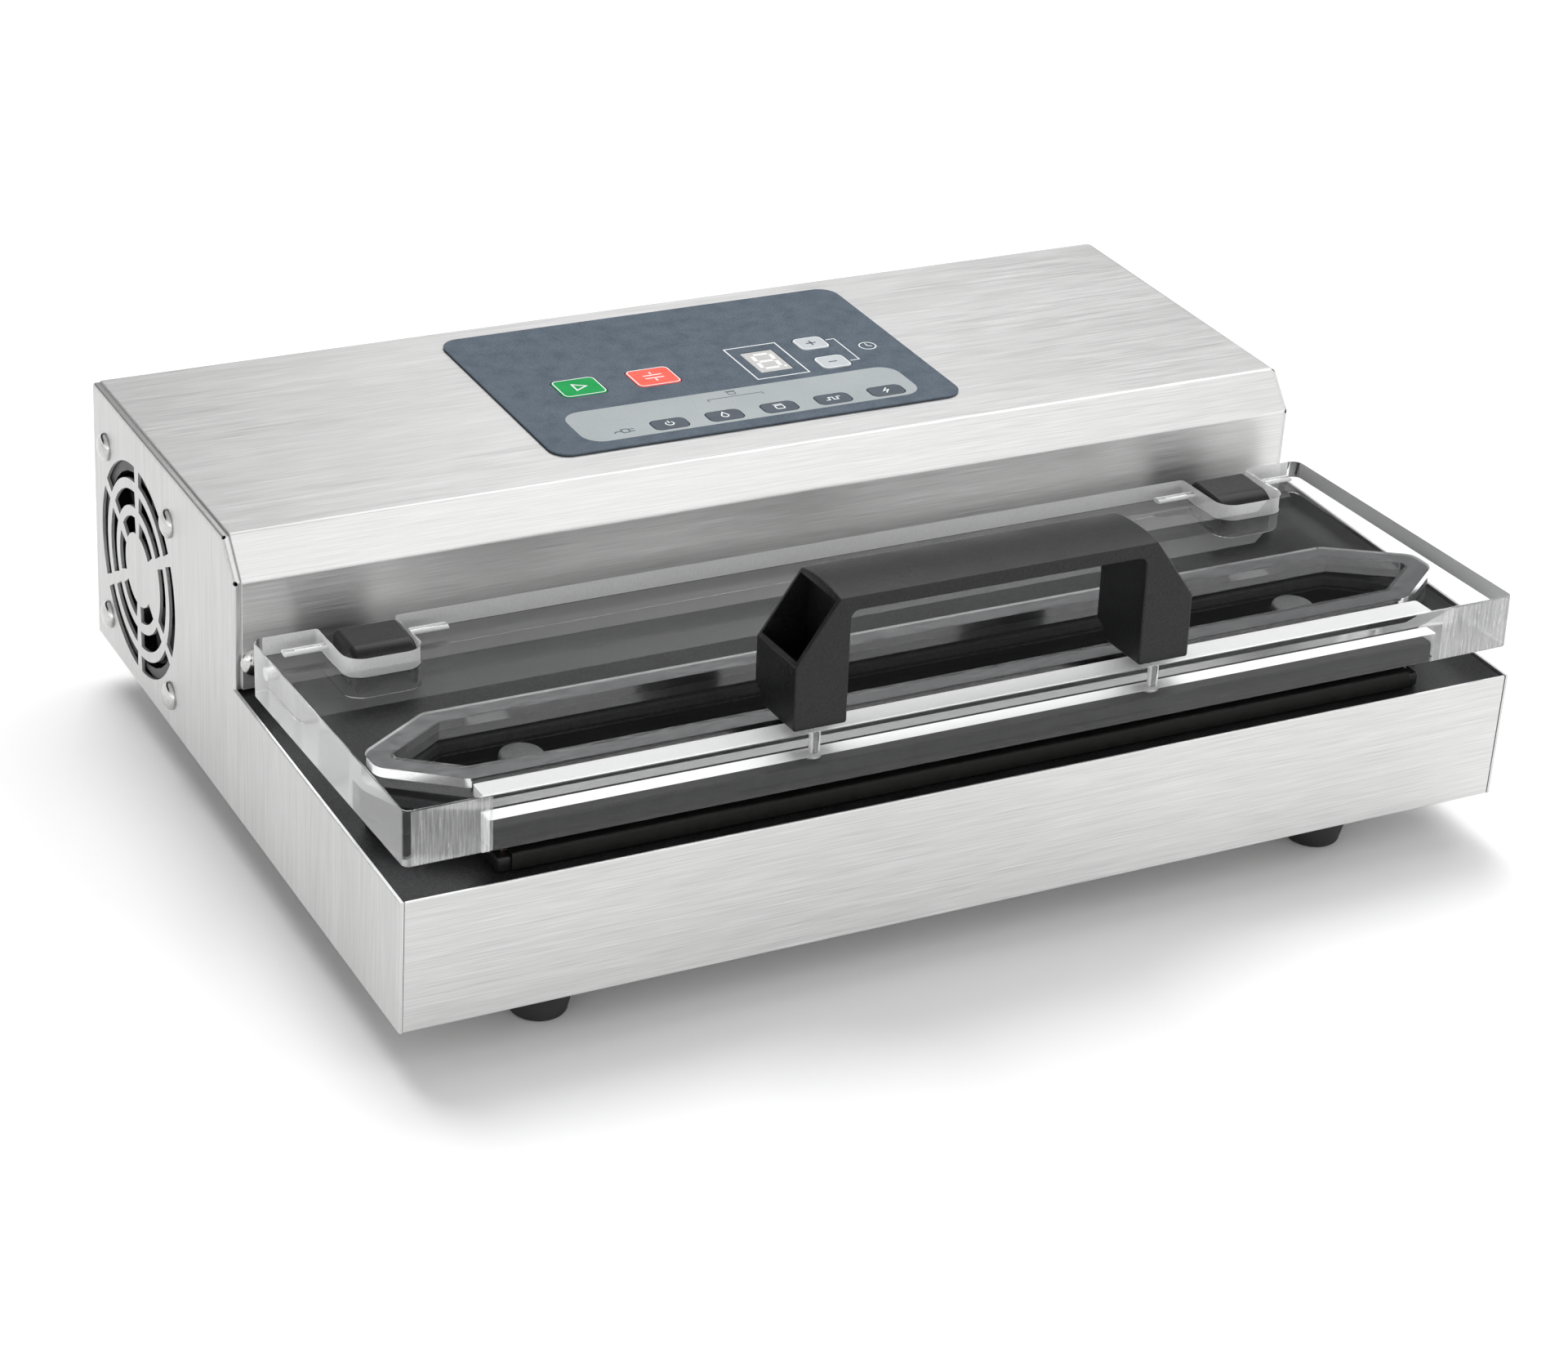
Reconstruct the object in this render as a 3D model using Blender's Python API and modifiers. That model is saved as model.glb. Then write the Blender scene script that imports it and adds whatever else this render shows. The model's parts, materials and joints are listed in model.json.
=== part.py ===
"""Vacuum sealer: a steel housing with a clear lid that hinges down onto a vacuum channel and a seal bar.

Metres, +Z up. The origin is under the centre of the object, on the plane that it stands on.
The front, with the lid's handle, faces -Y. Each sub-part has its own function and its own object.
"""

import math

import bmesh
import bpy
from mathutils import Matrix, Vector

GAP = 0.0003
SHEET = 0.0012
WIDTH = 0.446
DEPTH = 0.312
FOOT_HEIGHT = 0.019
FRONT_Y = -DEPTH / 2
REAR_Y = DEPTH / 2
FLOOR_Z = FOOT_HEIGHT
RIM_Z = FLOOR_Z + 0.0505
WALL_Z = FLOOR_Z + 0.0934
TOP_Z = FLOOR_Z + 0.1071
BEVEL_Y = 0.0121
INNER_X = WIDTH / 2 - SHEET

DECK_Z = RIM_Z - 0.001
DECK_THICKNESS = 0.003
CHANNEL_DEPTH = 0.016
DECK_REAR_Y = 0.009

LID_WIDTH = 0.4426
LID_DEPTH = 0.1423
LID_THICKNESS = 0.0209
LID_TILT = math.radians(2.56)
LID_REAR = 0.008
HINGE_Y = -0.0197
HINGE_Z = FLOOR_Z + 0.0667
PIN_RADIUS = 0.002
PIN_BORE = 0.0025
NOTCH_INNER_X = 0.167
NOTCH_OUTER_X = 0.196
NOTCH_DEPTH = 0.030
BLOCK_INNER_X = 0.1703
BLOCK_OUTER_X = 0.1916

RING_BACK = 0.069
RING_FRONT = 0.121
RING_WIDTH = 0.009
RING_GROOVE = 0.009
RING_PROUD = 0.0043
RING_ROUND = 0.007
LOWER_GASKET_HEIGHT = 0.0045
CHANNEL_ROUND = 0.0012

SLOT_BACK = 0.125
SLOT_FRONT = 0.1365
SLOT_HALF = 0.190
SLOT_HEIGHT = 0.0096
STRIP_PROUD = 0.0035
STRIP_HEIGHT = 0.0098

HANDLE_HALF = 0.079
HANDLE_HEIGHT = 0.048
HANDLE_BACK = 0.111
HANDLE_FRONT = 0.1405
HANDLE_LEG_INNER = 0.0585
HANDLE_UNDER = 0.0415
HANDLE_SHOULDER = 0.024
HANDLE_TOP_HALF = 0.063
HANDLE_WALL = 0.0025
HANDLE_SCOOP = 0.0065

FAN_SIZE = 0.080
FAN_DEPTH = 0.025
FAN_HOLE_SPACING = 0.0715
FAN_Y = 0.1061
FAN_Z = FLOOR_Z + 0.0495
SCREW_HEAD_RADIUS = 0.0055
SCREW_HEAD_HEIGHT = 0.003
SHANK_RADIUS = 0.0019
WALL_SCREW_X = 0.2155
WALL_SCREW_Z = FLOOR_Z + 0.0615

OVERLAY_CENTRE = (0.0015, 0.0875)
OVERLAY_SIZE = (0.175, 0.115)
OVERLAY_THICKNESS = 0.0008
OVERLAY_Z = TOP_Z + GAP
KEY_CLEARANCE = 0.0004
KEY_HEIGHT = 0.0021

KEYS = {
    "key_start": (-0.0516, 0.0855, 0.0186, 0.0160, "green_key"),
    "key_seal": (-0.0201, 0.0851, 0.0186, 0.0160, "red_key"),
    "key_time_up": (0.0540, 0.0943, 0.0130, 0.0115, "grey_key"),
    "key_time_down": (0.0537, 0.0749, 0.0130, 0.0115, "grey_key"),
    "key_power": (-0.0333, 0.0427, 0.0145, 0.0085, "dark_key"),
    "key_marinate": (-0.0100, 0.0427, 0.0145, 0.0085, "dark_key"),
    "key_accessory": (0.0135, 0.0427, 0.0145, 0.0085, "dark_key"),
    "key_pulse": (0.0369, 0.0427, 0.0145, 0.0085, "dark_key"),
    "key_impulse_seal": (0.0603, 0.0427, 0.0145, 0.0085, "dark_key"),
}

DISPLAY_CENTRE = (0.0290, 0.0844)
DISPLAY_SIZE = (0.0146, 0.0200)
BOARD_Z = TOP_Z - 0.014

SPIGOT_RADIUS = 0.0035
DECK_SPIGOT_REACH = 0.016
VALVE_HEIGHT = 0.040
VALVE_REACH = 0.024
PUMP_HEAD_START = 0.0745
PUMP_SPIGOT_REACH = 0.052

MATERIALS = {
    "brushed_steel": ((0.62, 0.62, 0.61), 0.34, 1.0),
    "polished_steel": ((0.75, 0.75, 0.74), 0.12, 1.0),
    "black_deck": ((0.035, 0.035, 0.037), 0.42, 0.0),
    "black_plastic": ((0.025, 0.025, 0.026), 0.38, 0.0),
    "handle_plastic": ((0.045, 0.045, 0.047), 0.55, 0.0),
    "clear_acrylic": ((0.90, 0.92, 0.92), 0.04, 0.0),
    "black_rubber": ((0.020, 0.020, 0.021), 0.70, 0.0),
    "gasket_foam": ((0.045, 0.045, 0.050), 0.80, 0.0),
    "tape": ((0.16, 0.13, 0.10), 0.50, 0.0),
    "overlay": ((0.090, 0.115, 0.145), 0.40, 0.0),
    "green_key": ((0.0, 0.30, 0.06), 0.38, 0.0),
    "red_key": ((0.80, 0.08, 0.05), 0.38, 0.0),
    "grey_key": ((0.42, 0.45, 0.46), 0.40, 0.0),
    "dark_key": ((0.075, 0.090, 0.110), 0.40, 0.0),
    "smoked_window": ((0.38, 0.36, 0.33), 0.15, 0.0),
    "circuit_board": ((0.02, 0.20, 0.07), 0.50, 0.0),
    "clip_plastic": ((0.30, 0.30, 0.30), 0.60, 0.0),
    "copper": ((0.60, 0.28, 0.14), 0.35, 1.0),
    "cast_aluminium": ((0.55, 0.55, 0.55), 0.45, 1.0),
    "silicone_hose": ((0.70, 0.70, 0.68), 0.55, 0.0),
}


# ---------------------------------------------------------------- tools


def clear_scene():
    for obj in list(bpy.data.objects):
        bpy.data.objects.remove(obj, do_unlink=True)


def make_collection(name):
    collection = bpy.data.collections.new(name)
    bpy.context.scene.collection.children.link(collection)
    return collection


def make_material(name):
    color, roughness, metallic = MATERIALS[name]
    found = bpy.data.materials.get(name)
    if found:
        return found
    made = bpy.data.materials.new(name)
    made.use_nodes = True
    shader = made.node_tree.nodes["Principled BSDF"]
    shader.inputs["Base Color"].default_value = (*color, 1.0)
    shader.inputs["Roughness"].default_value = roughness
    shader.inputs["Metallic"].default_value = metallic
    return made


def mesh_from(bm, name):
    bmesh.ops.recalc_face_normals(bm, faces=bm.faces)
    mesh = bpy.data.meshes.new(name)
    bm.to_mesh(mesh)
    bm.free()
    return mesh


def box_mesh(low, high):
    """A box between two corners."""
    bm = bmesh.new()
    bmesh.ops.create_cube(bm, size=1.0)
    size = Vector(high) - Vector(low)
    bmesh.ops.scale(bm, vec=size, verts=bm.verts)
    bmesh.ops.translate(bm, vec=(Vector(high) + Vector(low)) / 2, verts=bm.verts)
    return mesh_from(bm, "box")


def rod_mesh(radius, start, end, sides=24, end_radius=None):
    """A cylinder, or a cone frustum, between two points."""
    start = Vector(start)
    end = Vector(end)
    way = end - start
    bm = bmesh.new()
    tip = radius if end_radius is None else end_radius
    bmesh.ops.create_cone(
        bm, cap_ends=True, segments=sides, radius1=radius, radius2=tip, depth=way.length
    )
    turn = way.to_track_quat("Z", "Y").to_matrix().to_4x4()
    bmesh.ops.transform(bm, matrix=Matrix.Translation((start + end) / 2) @ turn, verts=bm.verts)
    return mesh_from(bm, "rod")


def plate_mesh(outline, low, high):
    """A flat outline in X and Y, given thickness from low to high in Z."""
    curve = bpy.data.curves.new("outline", "CURVE")
    curve.dimensions = "2D"
    curve.fill_mode = "BOTH"
    curve.extrude = (high - low) / 2
    spline = curve.splines.new("POLY")
    spline.points.add(len(outline) - 1)
    for point, (x, y) in zip(spline.points, outline):
        point.co = (x, y, 0, 1)
    spline.use_cyclic_u = True
    guide = bpy.data.objects.new("outline", curve)
    bpy.context.scene.collection.objects.link(guide)
    graph = bpy.context.evaluated_depsgraph_get()
    mesh = bpy.data.meshes.new_from_object(guide.evaluated_get(graph))
    bpy.data.objects.remove(guide)
    bm = bmesh.new()
    bm.from_mesh(mesh)
    bmesh.ops.remove_doubles(bm, verts=bm.verts, dist=1e-6)
    bmesh.ops.translate(bm, vec=(0, 0, (high + low) / 2), verts=bm.verts)
    return mesh_from(bm, "plate")


def side_plate_mesh(outline, low, high):
    """A flat outline in Y and Z, given thickness from low to high in X."""
    mesh = plate_mesh(outline, low, high)
    mesh.transform(Matrix(((0, 0, 1, 0), (1, 0, 0, 0), (0, 1, 0, 0), (0, 0, 0, 1))))
    return mesh


def front_plate_mesh(outline, low, high):
    """A flat outline in X and Z, given thickness from low to high in Y."""
    mesh = plate_mesh(outline, -high, -low)
    mesh.transform(Matrix(((1, 0, 0, 0), (0, 0, -1, 0), (0, 1, 0, 0), (0, 0, 0, 1))))
    return mesh


def turned_object(name, profile, steps, where, along, group):
    """A profile of (radius, height) points turned about an axis that starts at a point."""
    mesh = bpy.data.meshes.new(name)
    points = [(radius, 0, height) for radius, height in profile]
    edges = [(i, i + 1) for i in range(len(points) - 1)]
    mesh.from_pydata(points, edges, [])
    obj = bpy.data.objects.new(name, mesh)
    group.objects.link(obj)
    screw = obj.modifiers.new("turn", "SCREW")
    screw.steps = steps
    screw.render_steps = steps
    screw.use_merge_vertices = True
    screw.merge_threshold = 0.00001
    screw.use_smooth_shade = True
    turn = Vector(along).to_track_quat("Z", "Y").to_matrix().to_4x4()
    obj.matrix_world = Matrix.Translation(where) @ turn
    return obj


def rounded(corners, radius, steps=4):
    """The corners of an outline, each replaced by an arc of that radius."""
    points = []
    count = len(corners)
    for i in range(count):
        here = Vector(corners[i])
        before = (Vector(corners[i - 1]) - here).normalized()
        after = (Vector(corners[(i + 1) % count]) - here).normalized()
        half = before.angle(after) / 2
        reach = radius / math.tan(half)
        centre = here + (before + after).normalized() * radius / math.sin(half)
        first = (here + before * reach - centre).normalized()
        last = (here + after * reach - centre).normalized()
        for k in range(steps + 1):
            points.append(tuple(centre + first.slerp(last, k / steps) * radius))
    return points


def inset(corners, distance):
    """A convex outline, drawn anticlockwise, with every side moved inwards."""
    count = len(corners)
    lines = []
    for i in range(count):
        start = Vector(corners[i])
        way = (Vector(corners[(i + 1) % count]) - start).normalized()
        lines.append((start + Vector((-way.y, way.x)) * distance, way))
    points = []
    for i in range(count):
        start, way = lines[i - 1]
        other, across = lines[i]
        reach = (other - start).cross(across) / way.cross(across)
        points.append(tuple(start + way * reach))
    return points


def rectangle(centre, size):
    x, y = centre
    w, h = size[0] / 2, size[1] / 2
    return [(x - w, y - h), (x + w, y - h), (x + w, y + h), (x - w, y + h)]


def add_part(name, mesh, material, parent=None, group=None):
    obj = bpy.data.objects.new(name, mesh)
    (group or PARTS).objects.link(obj)
    if material:
        mesh.materials.append(make_material(material))
    if parent:
        obj.parent = parent
    for face in mesh.polygons:
        face.use_smooth = True
    mesh.set_sharp_from_angle(angle=math.radians(35))
    return obj


def change(obj, tool, operation):
    """Adds a Boolean of a mesh or of an object that is already in the cutters' collection."""
    if isinstance(tool, bpy.types.Mesh):
        tool = add_part(f"{obj.name}_tool", tool, None, obj.parent, CUTTERS)
    tool.hide_render = True
    tool.display_type = "WIRE"
    step = obj.modifiers.new(operation.lower(), "BOOLEAN")
    step.operation = operation
    step.solver = "EXACT"
    step.object = tool


def cut(obj, tool):
    change(obj, tool, "DIFFERENCE")


def join(obj, tool):
    change(obj, tool, "UNION")


def ring_corners(shift_y):
    """The channel's six-sided outline, whose back edge is the hinge side. Anticlockwise."""
    back = shift_y - RING_BACK
    front = shift_y - RING_FRONT
    right = [(0.189, front), (0.2145, back - 0.032), (0.2145, back - 0.020), (0.185, back)]
    left = [(-x, y) for x, y in reversed(right)]
    return right + left


# ---------------------------------------------------------------- steel housing


def side_profile():
    return [
        (FRONT_Y, FLOOR_Z),
        (REAR_Y, FLOOR_Z),
        (REAR_Y, TOP_Z),
        (BEVEL_Y, TOP_Z),
        (0.0, WALL_Z),
        (0.0, RIM_Z),
        (FRONT_Y, RIM_Z),
    ]


def arc_slot(inner, outer, start, end, steps=7):
    """A curved slot about the fan's axis, in Y and Z, with its ends parallel to the ribs between slots."""
    angles = [start + (end - start) * k / steps for k in range(steps + 1)]
    far = [(math.sin(a) * outer, math.cos(a) * outer) for a in angles]
    near = [(math.sin(a) * inner, math.cos(a) * inner) for a in reversed(angles)]
    return [(FAN_Y + y, FAN_Z + z) for y, z in far + near]


def vent_slots():
    """Three rings of slots in six sectors. The innermost ring has no slot in the sector towards the front."""
    half_rib = 0.0022
    rings = [(0.0145, 0.021), (0.025, 0.0315), (0.0355, 0.042)]
    slots = []
    for sector in range(6):
        for number, (inner, outer) in enumerate(rings):
            if sector == 4 and number == 0:
                continue
            margin = half_rib / ((inner + outer) / 2)
            start = math.radians(60 * sector) + margin
            end = math.radians(60 * sector + 60) - margin
            slots.append(arc_slot(inner, outer, start, end))
    return slots


def fan_screw_places():
    half = FAN_HOLE_SPACING / 2
    return [(FAN_Y + y * half, FAN_Z + z * half) for y in (-1, 1) for z in (-1, 1)]


def foot_places():
    return [(x * 0.161, y * 0.131) for x in (-1, 1) for y in (-1, 1)]


def chassis_pan():
    half = WIDTH / 2
    pan = add_part("chassis_pan", side_plate_mesh(side_profile(), -half, half), "brushed_steel")
    low = (-INNER_X, FRONT_Y + SHEET, FLOOR_Z + SHEET)
    cut(pan, box_mesh(low, (INNER_X, REAR_Y + 0.05, TOP_Z + 0.05)))
    for slot in vent_slots():
        cut(pan, side_plate_mesh(slot, -half - 0.005, -half + 0.005))
    for y, z in fan_screw_places():
        cut(pan, rod_mesh(0.0026, (-half - 0.005, y, z), (-half + 0.005, y, z), 12))
    for x, y in foot_places():
        cut(pan, rod_mesh(0.0031, (x, y, FLOOR_Z - 0.005), (x, y, FLOOR_Z + 0.005), 12))
    x, y, z = PORT_PLACE
    cut(pan, rod_mesh(0.0062, (x - 0.01, y, z), (x + 0.01, y, z), 24))
    return pan


def housing_cover():
    """The bent sheet that makes the front wall, the bevel and the top, between the pan's side cheeks."""
    half = INNER_X - 0.0005
    profile = [(REAR_Y, TOP_Z), (BEVEL_Y, TOP_Z), (0.0, WALL_Z), (0.0, RIM_Z + GAP)]
    bm = bmesh.new()
    for x in (-half, half):
        for y, z in profile:
            bm.verts.new((x, y, z))
    bm.verts.ensure_lookup_table()
    count = len(profile)
    for i in range(count - 1):
        corners = (i, i + 1, count + i + 1, count + i)
        bm.faces.new([bm.verts[k] for k in corners])
    mesh = bpy.data.meshes.new("cover")
    bm.normal_update()
    bm.to_mesh(mesh)
    bm.free()
    cover = add_part("housing_cover", mesh, "brushed_steel")
    shell = cover.modifiers.new("sheet", "SOLIDIFY")
    shell.thickness = SHEET
    shell.offset = -1
    shell.use_even_offset = True
    window = rectangle(OVERLAY_CENTRE, (OVERLAY_SIZE[0] - 0.016, OVERLAY_SIZE[1] - 0.016))
    cut(cover, plate_mesh(rounded(window, 0.004, 3), TOP_Z - 0.01, TOP_Z + 0.01))
    for side in (-1, 1):
        x = side * WALL_SCREW_X
        cut(cover, rod_mesh(0.0024, (x, -0.01, WALL_SCREW_Z), (x, 0.01, WALL_SCREW_Z), 12))
    return cover


def rear_panel():
    """The back plate, set in from the rear edge, with its inlet opening and two rows of vent slots."""
    half = INNER_X - GAP
    low = (-half, REAR_PANEL_Y - SHEET, FLOOR_Z + SHEET + GAP)
    high = (half, REAR_PANEL_Y, TOP_Z - SHEET - GAP)
    panel = add_part("rear_panel", box_mesh(low, high), "brushed_steel")
    x, z = INLET_PLACE
    opening = rectangle((x, z), (0.0280, 0.0208))
    cut(panel, front_plate_mesh(opening, REAR_PANEL_Y - 0.01, REAR_PANEL_Y + 0.01))
    for row in range(2):
        for number in range(8):
            centre = (0.045 + 0.012 * number, FLOOR_Z + 0.035 + 0.032 * row)
            slot = rounded(rectangle(centre, (0.0045, 0.024)), 0.002, 3)
            cut(panel, front_plate_mesh(slot, REAR_PANEL_Y - 0.01, REAR_PANEL_Y + 0.01))
    return panel


# ---------------------------------------------------------------- working deck


def work_deck():
    """The black moulded deck, with the vacuum channel hanging below it and a hose spigot on the channel."""
    half = INNER_X - GAP
    low = (-half, FRONT_Y + SHEET + GAP, DECK_Z - DECK_THICKNESS)
    deck = add_part("work_deck", box_mesh(low, (half, DECK_REAR_Y, DECK_Z)), "black_deck")
    corners = ring_corners(HINGE_Y + LID_REAR)
    inner = rounded(inset(corners, RING_WIDTH + 0.0005), CHANNEL_ROUND, 3)
    outer = rounded(inset(corners, RING_WIDTH - 0.0020), CHANNEL_ROUND, 3)
    floor_z = DECK_Z - CHANNEL_DEPTH
    join(deck, plate_mesh(outer, floor_z - 0.0022, DECK_Z - 0.001))
    wall_y = CHANNEL_WALL_Y
    near, far = (SPIGOT_X, wall_y, SPIGOT_Z), (SPIGOT_X, wall_y + DECK_SPIGOT_REACH, SPIGOT_Z)
    join(deck, rod_mesh(SPIGOT_RADIUS, near, far, 16))
    cut(deck, plate_mesh(inner, floor_z, DECK_Z + 0.01))
    hole_start = (SPIGOT_X, wall_y - 0.008, SPIGOT_Z)
    cut(deck, rod_mesh(0.0022, hole_start, (SPIGOT_X, wall_y + 0.02, SPIGOT_Z), 12))
    return deck


def drip_tray():
    """A liner that lifts out of the channel, with a notch that leaves the suction hole open."""
    outline = inset(ring_corners(HINGE_Y + LID_REAR), RING_WIDTH + 0.0011)
    floor_z = DECK_Z - CHANNEL_DEPTH + GAP
    top_z = DECK_Z - 0.0035
    wall = 0.0014
    body = plate_mesh(rounded(outline, 0.001, 3), floor_z, top_z)
    tray = add_part("drip_tray", body, "black_plastic")
    cut(tray, plate_mesh(inset(outline, wall), floor_z + wall, top_z + 0.01))
    low = (SPIGOT_X - 0.006, CHANNEL_WALL_Y - 0.006, SPIGOT_Z - 0.003)
    cut(tray, box_mesh(low, (SPIGOT_X + 0.006, CHANNEL_WALL_Y + 0.006, top_z + 0.01)))
    return tray


def lower_gasket():
    """The foam ring round the channel, under the lid's own ring."""
    corners = ring_corners(HINGE_Y + LID_REAR)
    low = DECK_Z + 0.0002
    high = DECK_Z + LOWER_GASKET_HEIGHT
    outline = rounded(corners, RING_ROUND, 4)
    gasket = add_part("lower_gasket", plate_mesh(outline, low, high), "gasket_foam")
    hole = rounded(inset(corners, RING_WIDTH), CHANNEL_ROUND, 4)
    cut(gasket, plate_mesh(hole, low - 0.01, high + 0.01))
    return gasket


def seal_bar():
    """The rigid bar that carries the heating strip."""
    half = 0.0062
    low = (-0.186, BAR_Y - half, DECK_Z + 0.0002)
    base = add_part("seal_bar", box_mesh(low, (0.186, BAR_Y + half, BAR_TOP_Z)), "black_plastic")
    edge = base.modifiers.new("edge", "BEVEL")
    edge.width = 0.0008
    edge.segments = 1
    return base


def heating_strip():
    half = 0.0020
    low = (-0.183, BAR_Y - half, BAR_TOP_Z + 0.0002)
    high = (0.183, BAR_Y + half, BAR_TOP_Z + 0.0006)
    return add_part("heating_strip", box_mesh(low, high), "copper")


def ptfe_cover():
    """The non-stick tape that wraps over the heating strip and down both sides of the bar."""
    reach = 0.0072
    wall = 0.0004
    top = BAR_TOP_Z + 0.0014
    low_z = DECK_Z + 0.0012
    low = (-0.181, BAR_Y - reach, low_z)
    tape = add_part("ptfe_cover", box_mesh(low, (0.181, BAR_Y + reach, top)), "tape")
    hollow_low = (-0.2, BAR_Y - reach + wall, low_z - 0.005)
    cut(tape, box_mesh(hollow_low, (0.2, BAR_Y + reach - wall, top - wall)))
    return tape


def bag_clip(side, label):
    """A round-headed clip standing in the channel, which holds the bag's mouth."""
    base_z = DECK_Z - CHANNEL_DEPTH + 0.0022
    head_z = DECK_Z + 0.0045
    profile = [
        (0.0, head_z),
        (0.0070, head_z),
        (0.0080, head_z - 0.0009),
        (0.0080, head_z - 0.0024),
        (0.0030, head_z - 0.0030),
        (0.0030, base_z + 0.0015),
        (0.0045, base_z),
        (0.0, base_z),
    ]
    clip = turned_object(f"bag_clip_{label}", profile, 24, (side * 0.158, CLIP_Y, 0), (0, 0, 1), PARTS)
    clip.data.materials.append(make_material("clip_plastic"))
    return clip


def hinge_block(side, label):
    """The black block that the lid's notch straddles. It stands on the deck and holds the hinge pin."""
    front, back, top = -0.039, -0.015, FLOOR_Z + 0.076
    radius = 0.0083
    arc = []
    for k in range(5):
        angle = math.radians(90 * k / 4)
        y = front + radius - radius * math.sin(angle)
        arc.append((y, top - radius + radius * math.cos(angle)))
    base_z = DECK_Z + 0.0002
    outline = [(front, base_z), (back, base_z), (back, top)] + arc
    low, high = sorted((side * BLOCK_INNER_X, side * BLOCK_OUTER_X))
    block = add_part(f"hinge_block_{label}", side_plate_mesh(outline, low, high), "black_plastic")
    cut(block, rod_mesh(PIN_BORE, (low - 0.01, HINGE_Y, HINGE_Z), (high + 0.01, HINGE_Y, HINGE_Z), 16))
    return block


def hinge_pin(side, label):
    start = (side * 0.154, HINGE_Y, HINGE_Z)
    end = (side * 0.208, HINGE_Y, HINGE_Z)
    return add_part(f"hinge_pin_{label}", rod_mesh(PIN_RADIUS, start, end, 16), "polished_steel")


def dome_screw(name, where, along, shank):
    """A polished domed screw. The head's underside is at the given point."""
    profile = []
    for k in range(5):
        angle = math.radians(90 * k / 5)
        height = SCREW_HEAD_HEIGHT * math.cos(angle)
        profile.append((SCREW_HEAD_RADIUS * math.sin(angle), height))
    profile += [(SCREW_HEAD_RADIUS, 0.0), (SHANK_RADIUS, 0.0)]
    profile += [(SHANK_RADIUS, -shank), (0.0, -shank)]
    screw = turned_object(name, profile, 20, where, along, PARTS)
    screw.data.materials.append(make_material("polished_steel"))
    return screw


def housing_screws():
    for number, (y, z) in enumerate(fan_screw_places(), 1):
        dome_screw(f"fan_screw_{number}", (-WIDTH / 2 - 0.0001, y, z), (-1, 0, 0), 0.009)
    for side, label in SIDES:
        place = (side * WALL_SCREW_X, -0.0001, WALL_SCREW_Z)
        dome_screw(f"wall_screw_{label}", place, (0, -1, 0), 0.006)


def feet():
    profile = [
        (0.0, 0.0075),
        (0.0025, 0.0075),
        (0.0025, -GAP),
        (0.0120, -GAP),
        (0.0118, -0.0120),
        (0.0105, -0.0172),
        (0.0090, -FOOT_HEIGHT),
        (0.0, -FOOT_HEIGHT),
    ]
    for number, (x, y) in enumerate(foot_places(), 1):
        foot = turned_object(f"foot_{number}", profile, 24, (x, y, FLOOR_Z), (0, 0, 1), PARTS)
        foot.data.materials.append(make_material("black_rubber"))


# ---------------------------------------------------------------- control panel


def control_overlay():
    """The printed panel, with an opening for each key and for the display window."""
    outline = rounded(rectangle(OVERLAY_CENTRE, OVERLAY_SIZE), 0.008, 5)
    top = OVERLAY_Z + OVERLAY_THICKNESS
    overlay = add_part("control_overlay", plate_mesh(outline, OVERLAY_Z, top), "overlay")
    for x, y, width, height, _ in KEYS.values():
        size = (width + 2 * KEY_CLEARANCE, height + 2 * KEY_CLEARANCE)
        hole = rounded(rectangle((x, y), size), 0.0022, 3)
        cut(overlay, plate_mesh(hole, OVERLAY_Z - 0.01, top + 0.01))
    cut(overlay, plate_mesh(rectangle(DISPLAY_CENTRE, DISPLAY_SIZE), OVERLAY_Z - 0.01, top + 0.01))
    return overlay


def display_window():
    size = (DISPLAY_SIZE[0] - 2 * GAP, DISPLAY_SIZE[1] - 2 * GAP)
    outline = rectangle(DISPLAY_CENTRE, size)
    top = OVERLAY_Z + OVERLAY_THICKNESS
    return add_part("display_window", plate_mesh(outline, OVERLAY_Z, top), "smoked_window")


def control_board():
    low = (-0.078, 0.036, BOARD_Z - 0.0016)
    return add_part("control_board", box_mesh(low, (0.082, 0.136, BOARD_Z)), "circuit_board")


def display_digit():
    """The seven-segment module under the window."""
    outline = rectangle(DISPLAY_CENTRE, (0.0126, 0.0180))
    low = BOARD_Z + GAP
    return add_part("display_digit", plate_mesh(outline, low, OVERLAY_Z - 0.0010), "black_plastic")


def keys():
    """Each key is its own piece, parented to an empty at its centre, and slides straight down."""
    top = OVERLAY_Z + OVERLAY_THICKNESS + 0.0002
    for name, (x, y, width, height, material) in KEYS.items():
        holder = empty(f"{name}_slide", (x, y, top))
        outline = rounded(rectangle((0, 0), (width, height)), 0.0020, 3)
        add_part(name, plate_mesh(outline, -KEY_HEIGHT, 0), material, holder)


# ---------------------------------------------------------------- inside the housing


def fan_frame():
    """A square fan frame, with four arms that carry the motor at its inner side."""
    low = FAN_X
    high = FAN_X + FAN_DEPTH
    square = rounded(rectangle((FAN_Y, FAN_Z), (FAN_SIZE, FAN_SIZE)), 0.006, 3)
    frame = add_part("fan_frame", side_plate_mesh(square, low, high), "black_plastic")
    cut(frame, rod_mesh(0.038, (low - 0.01, FAN_Y, FAN_Z), (high + 0.01, FAN_Y, FAN_Z), 32))
    arm_x = high - 0.003
    join(frame, rod_mesh(0.015, (arm_x, FAN_Y, FAN_Z), (high, FAN_Y, FAN_Z), 24))
    for vertical in (True, False):
        across = (0.0025, 0.0385) if vertical else (0.0385, 0.0025)
        corner = (arm_x, FAN_Y - across[0], FAN_Z - across[1])
        opposite = (high - 0.0002, FAN_Y + across[0], FAN_Z + across[1])
        join(frame, box_mesh(corner, opposite))
    for y, z in fan_screw_places():
        cut(frame, rod_mesh(0.0023, (low - 0.005, y, z), (high + 0.005, y, z), 12))
    return frame


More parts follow.
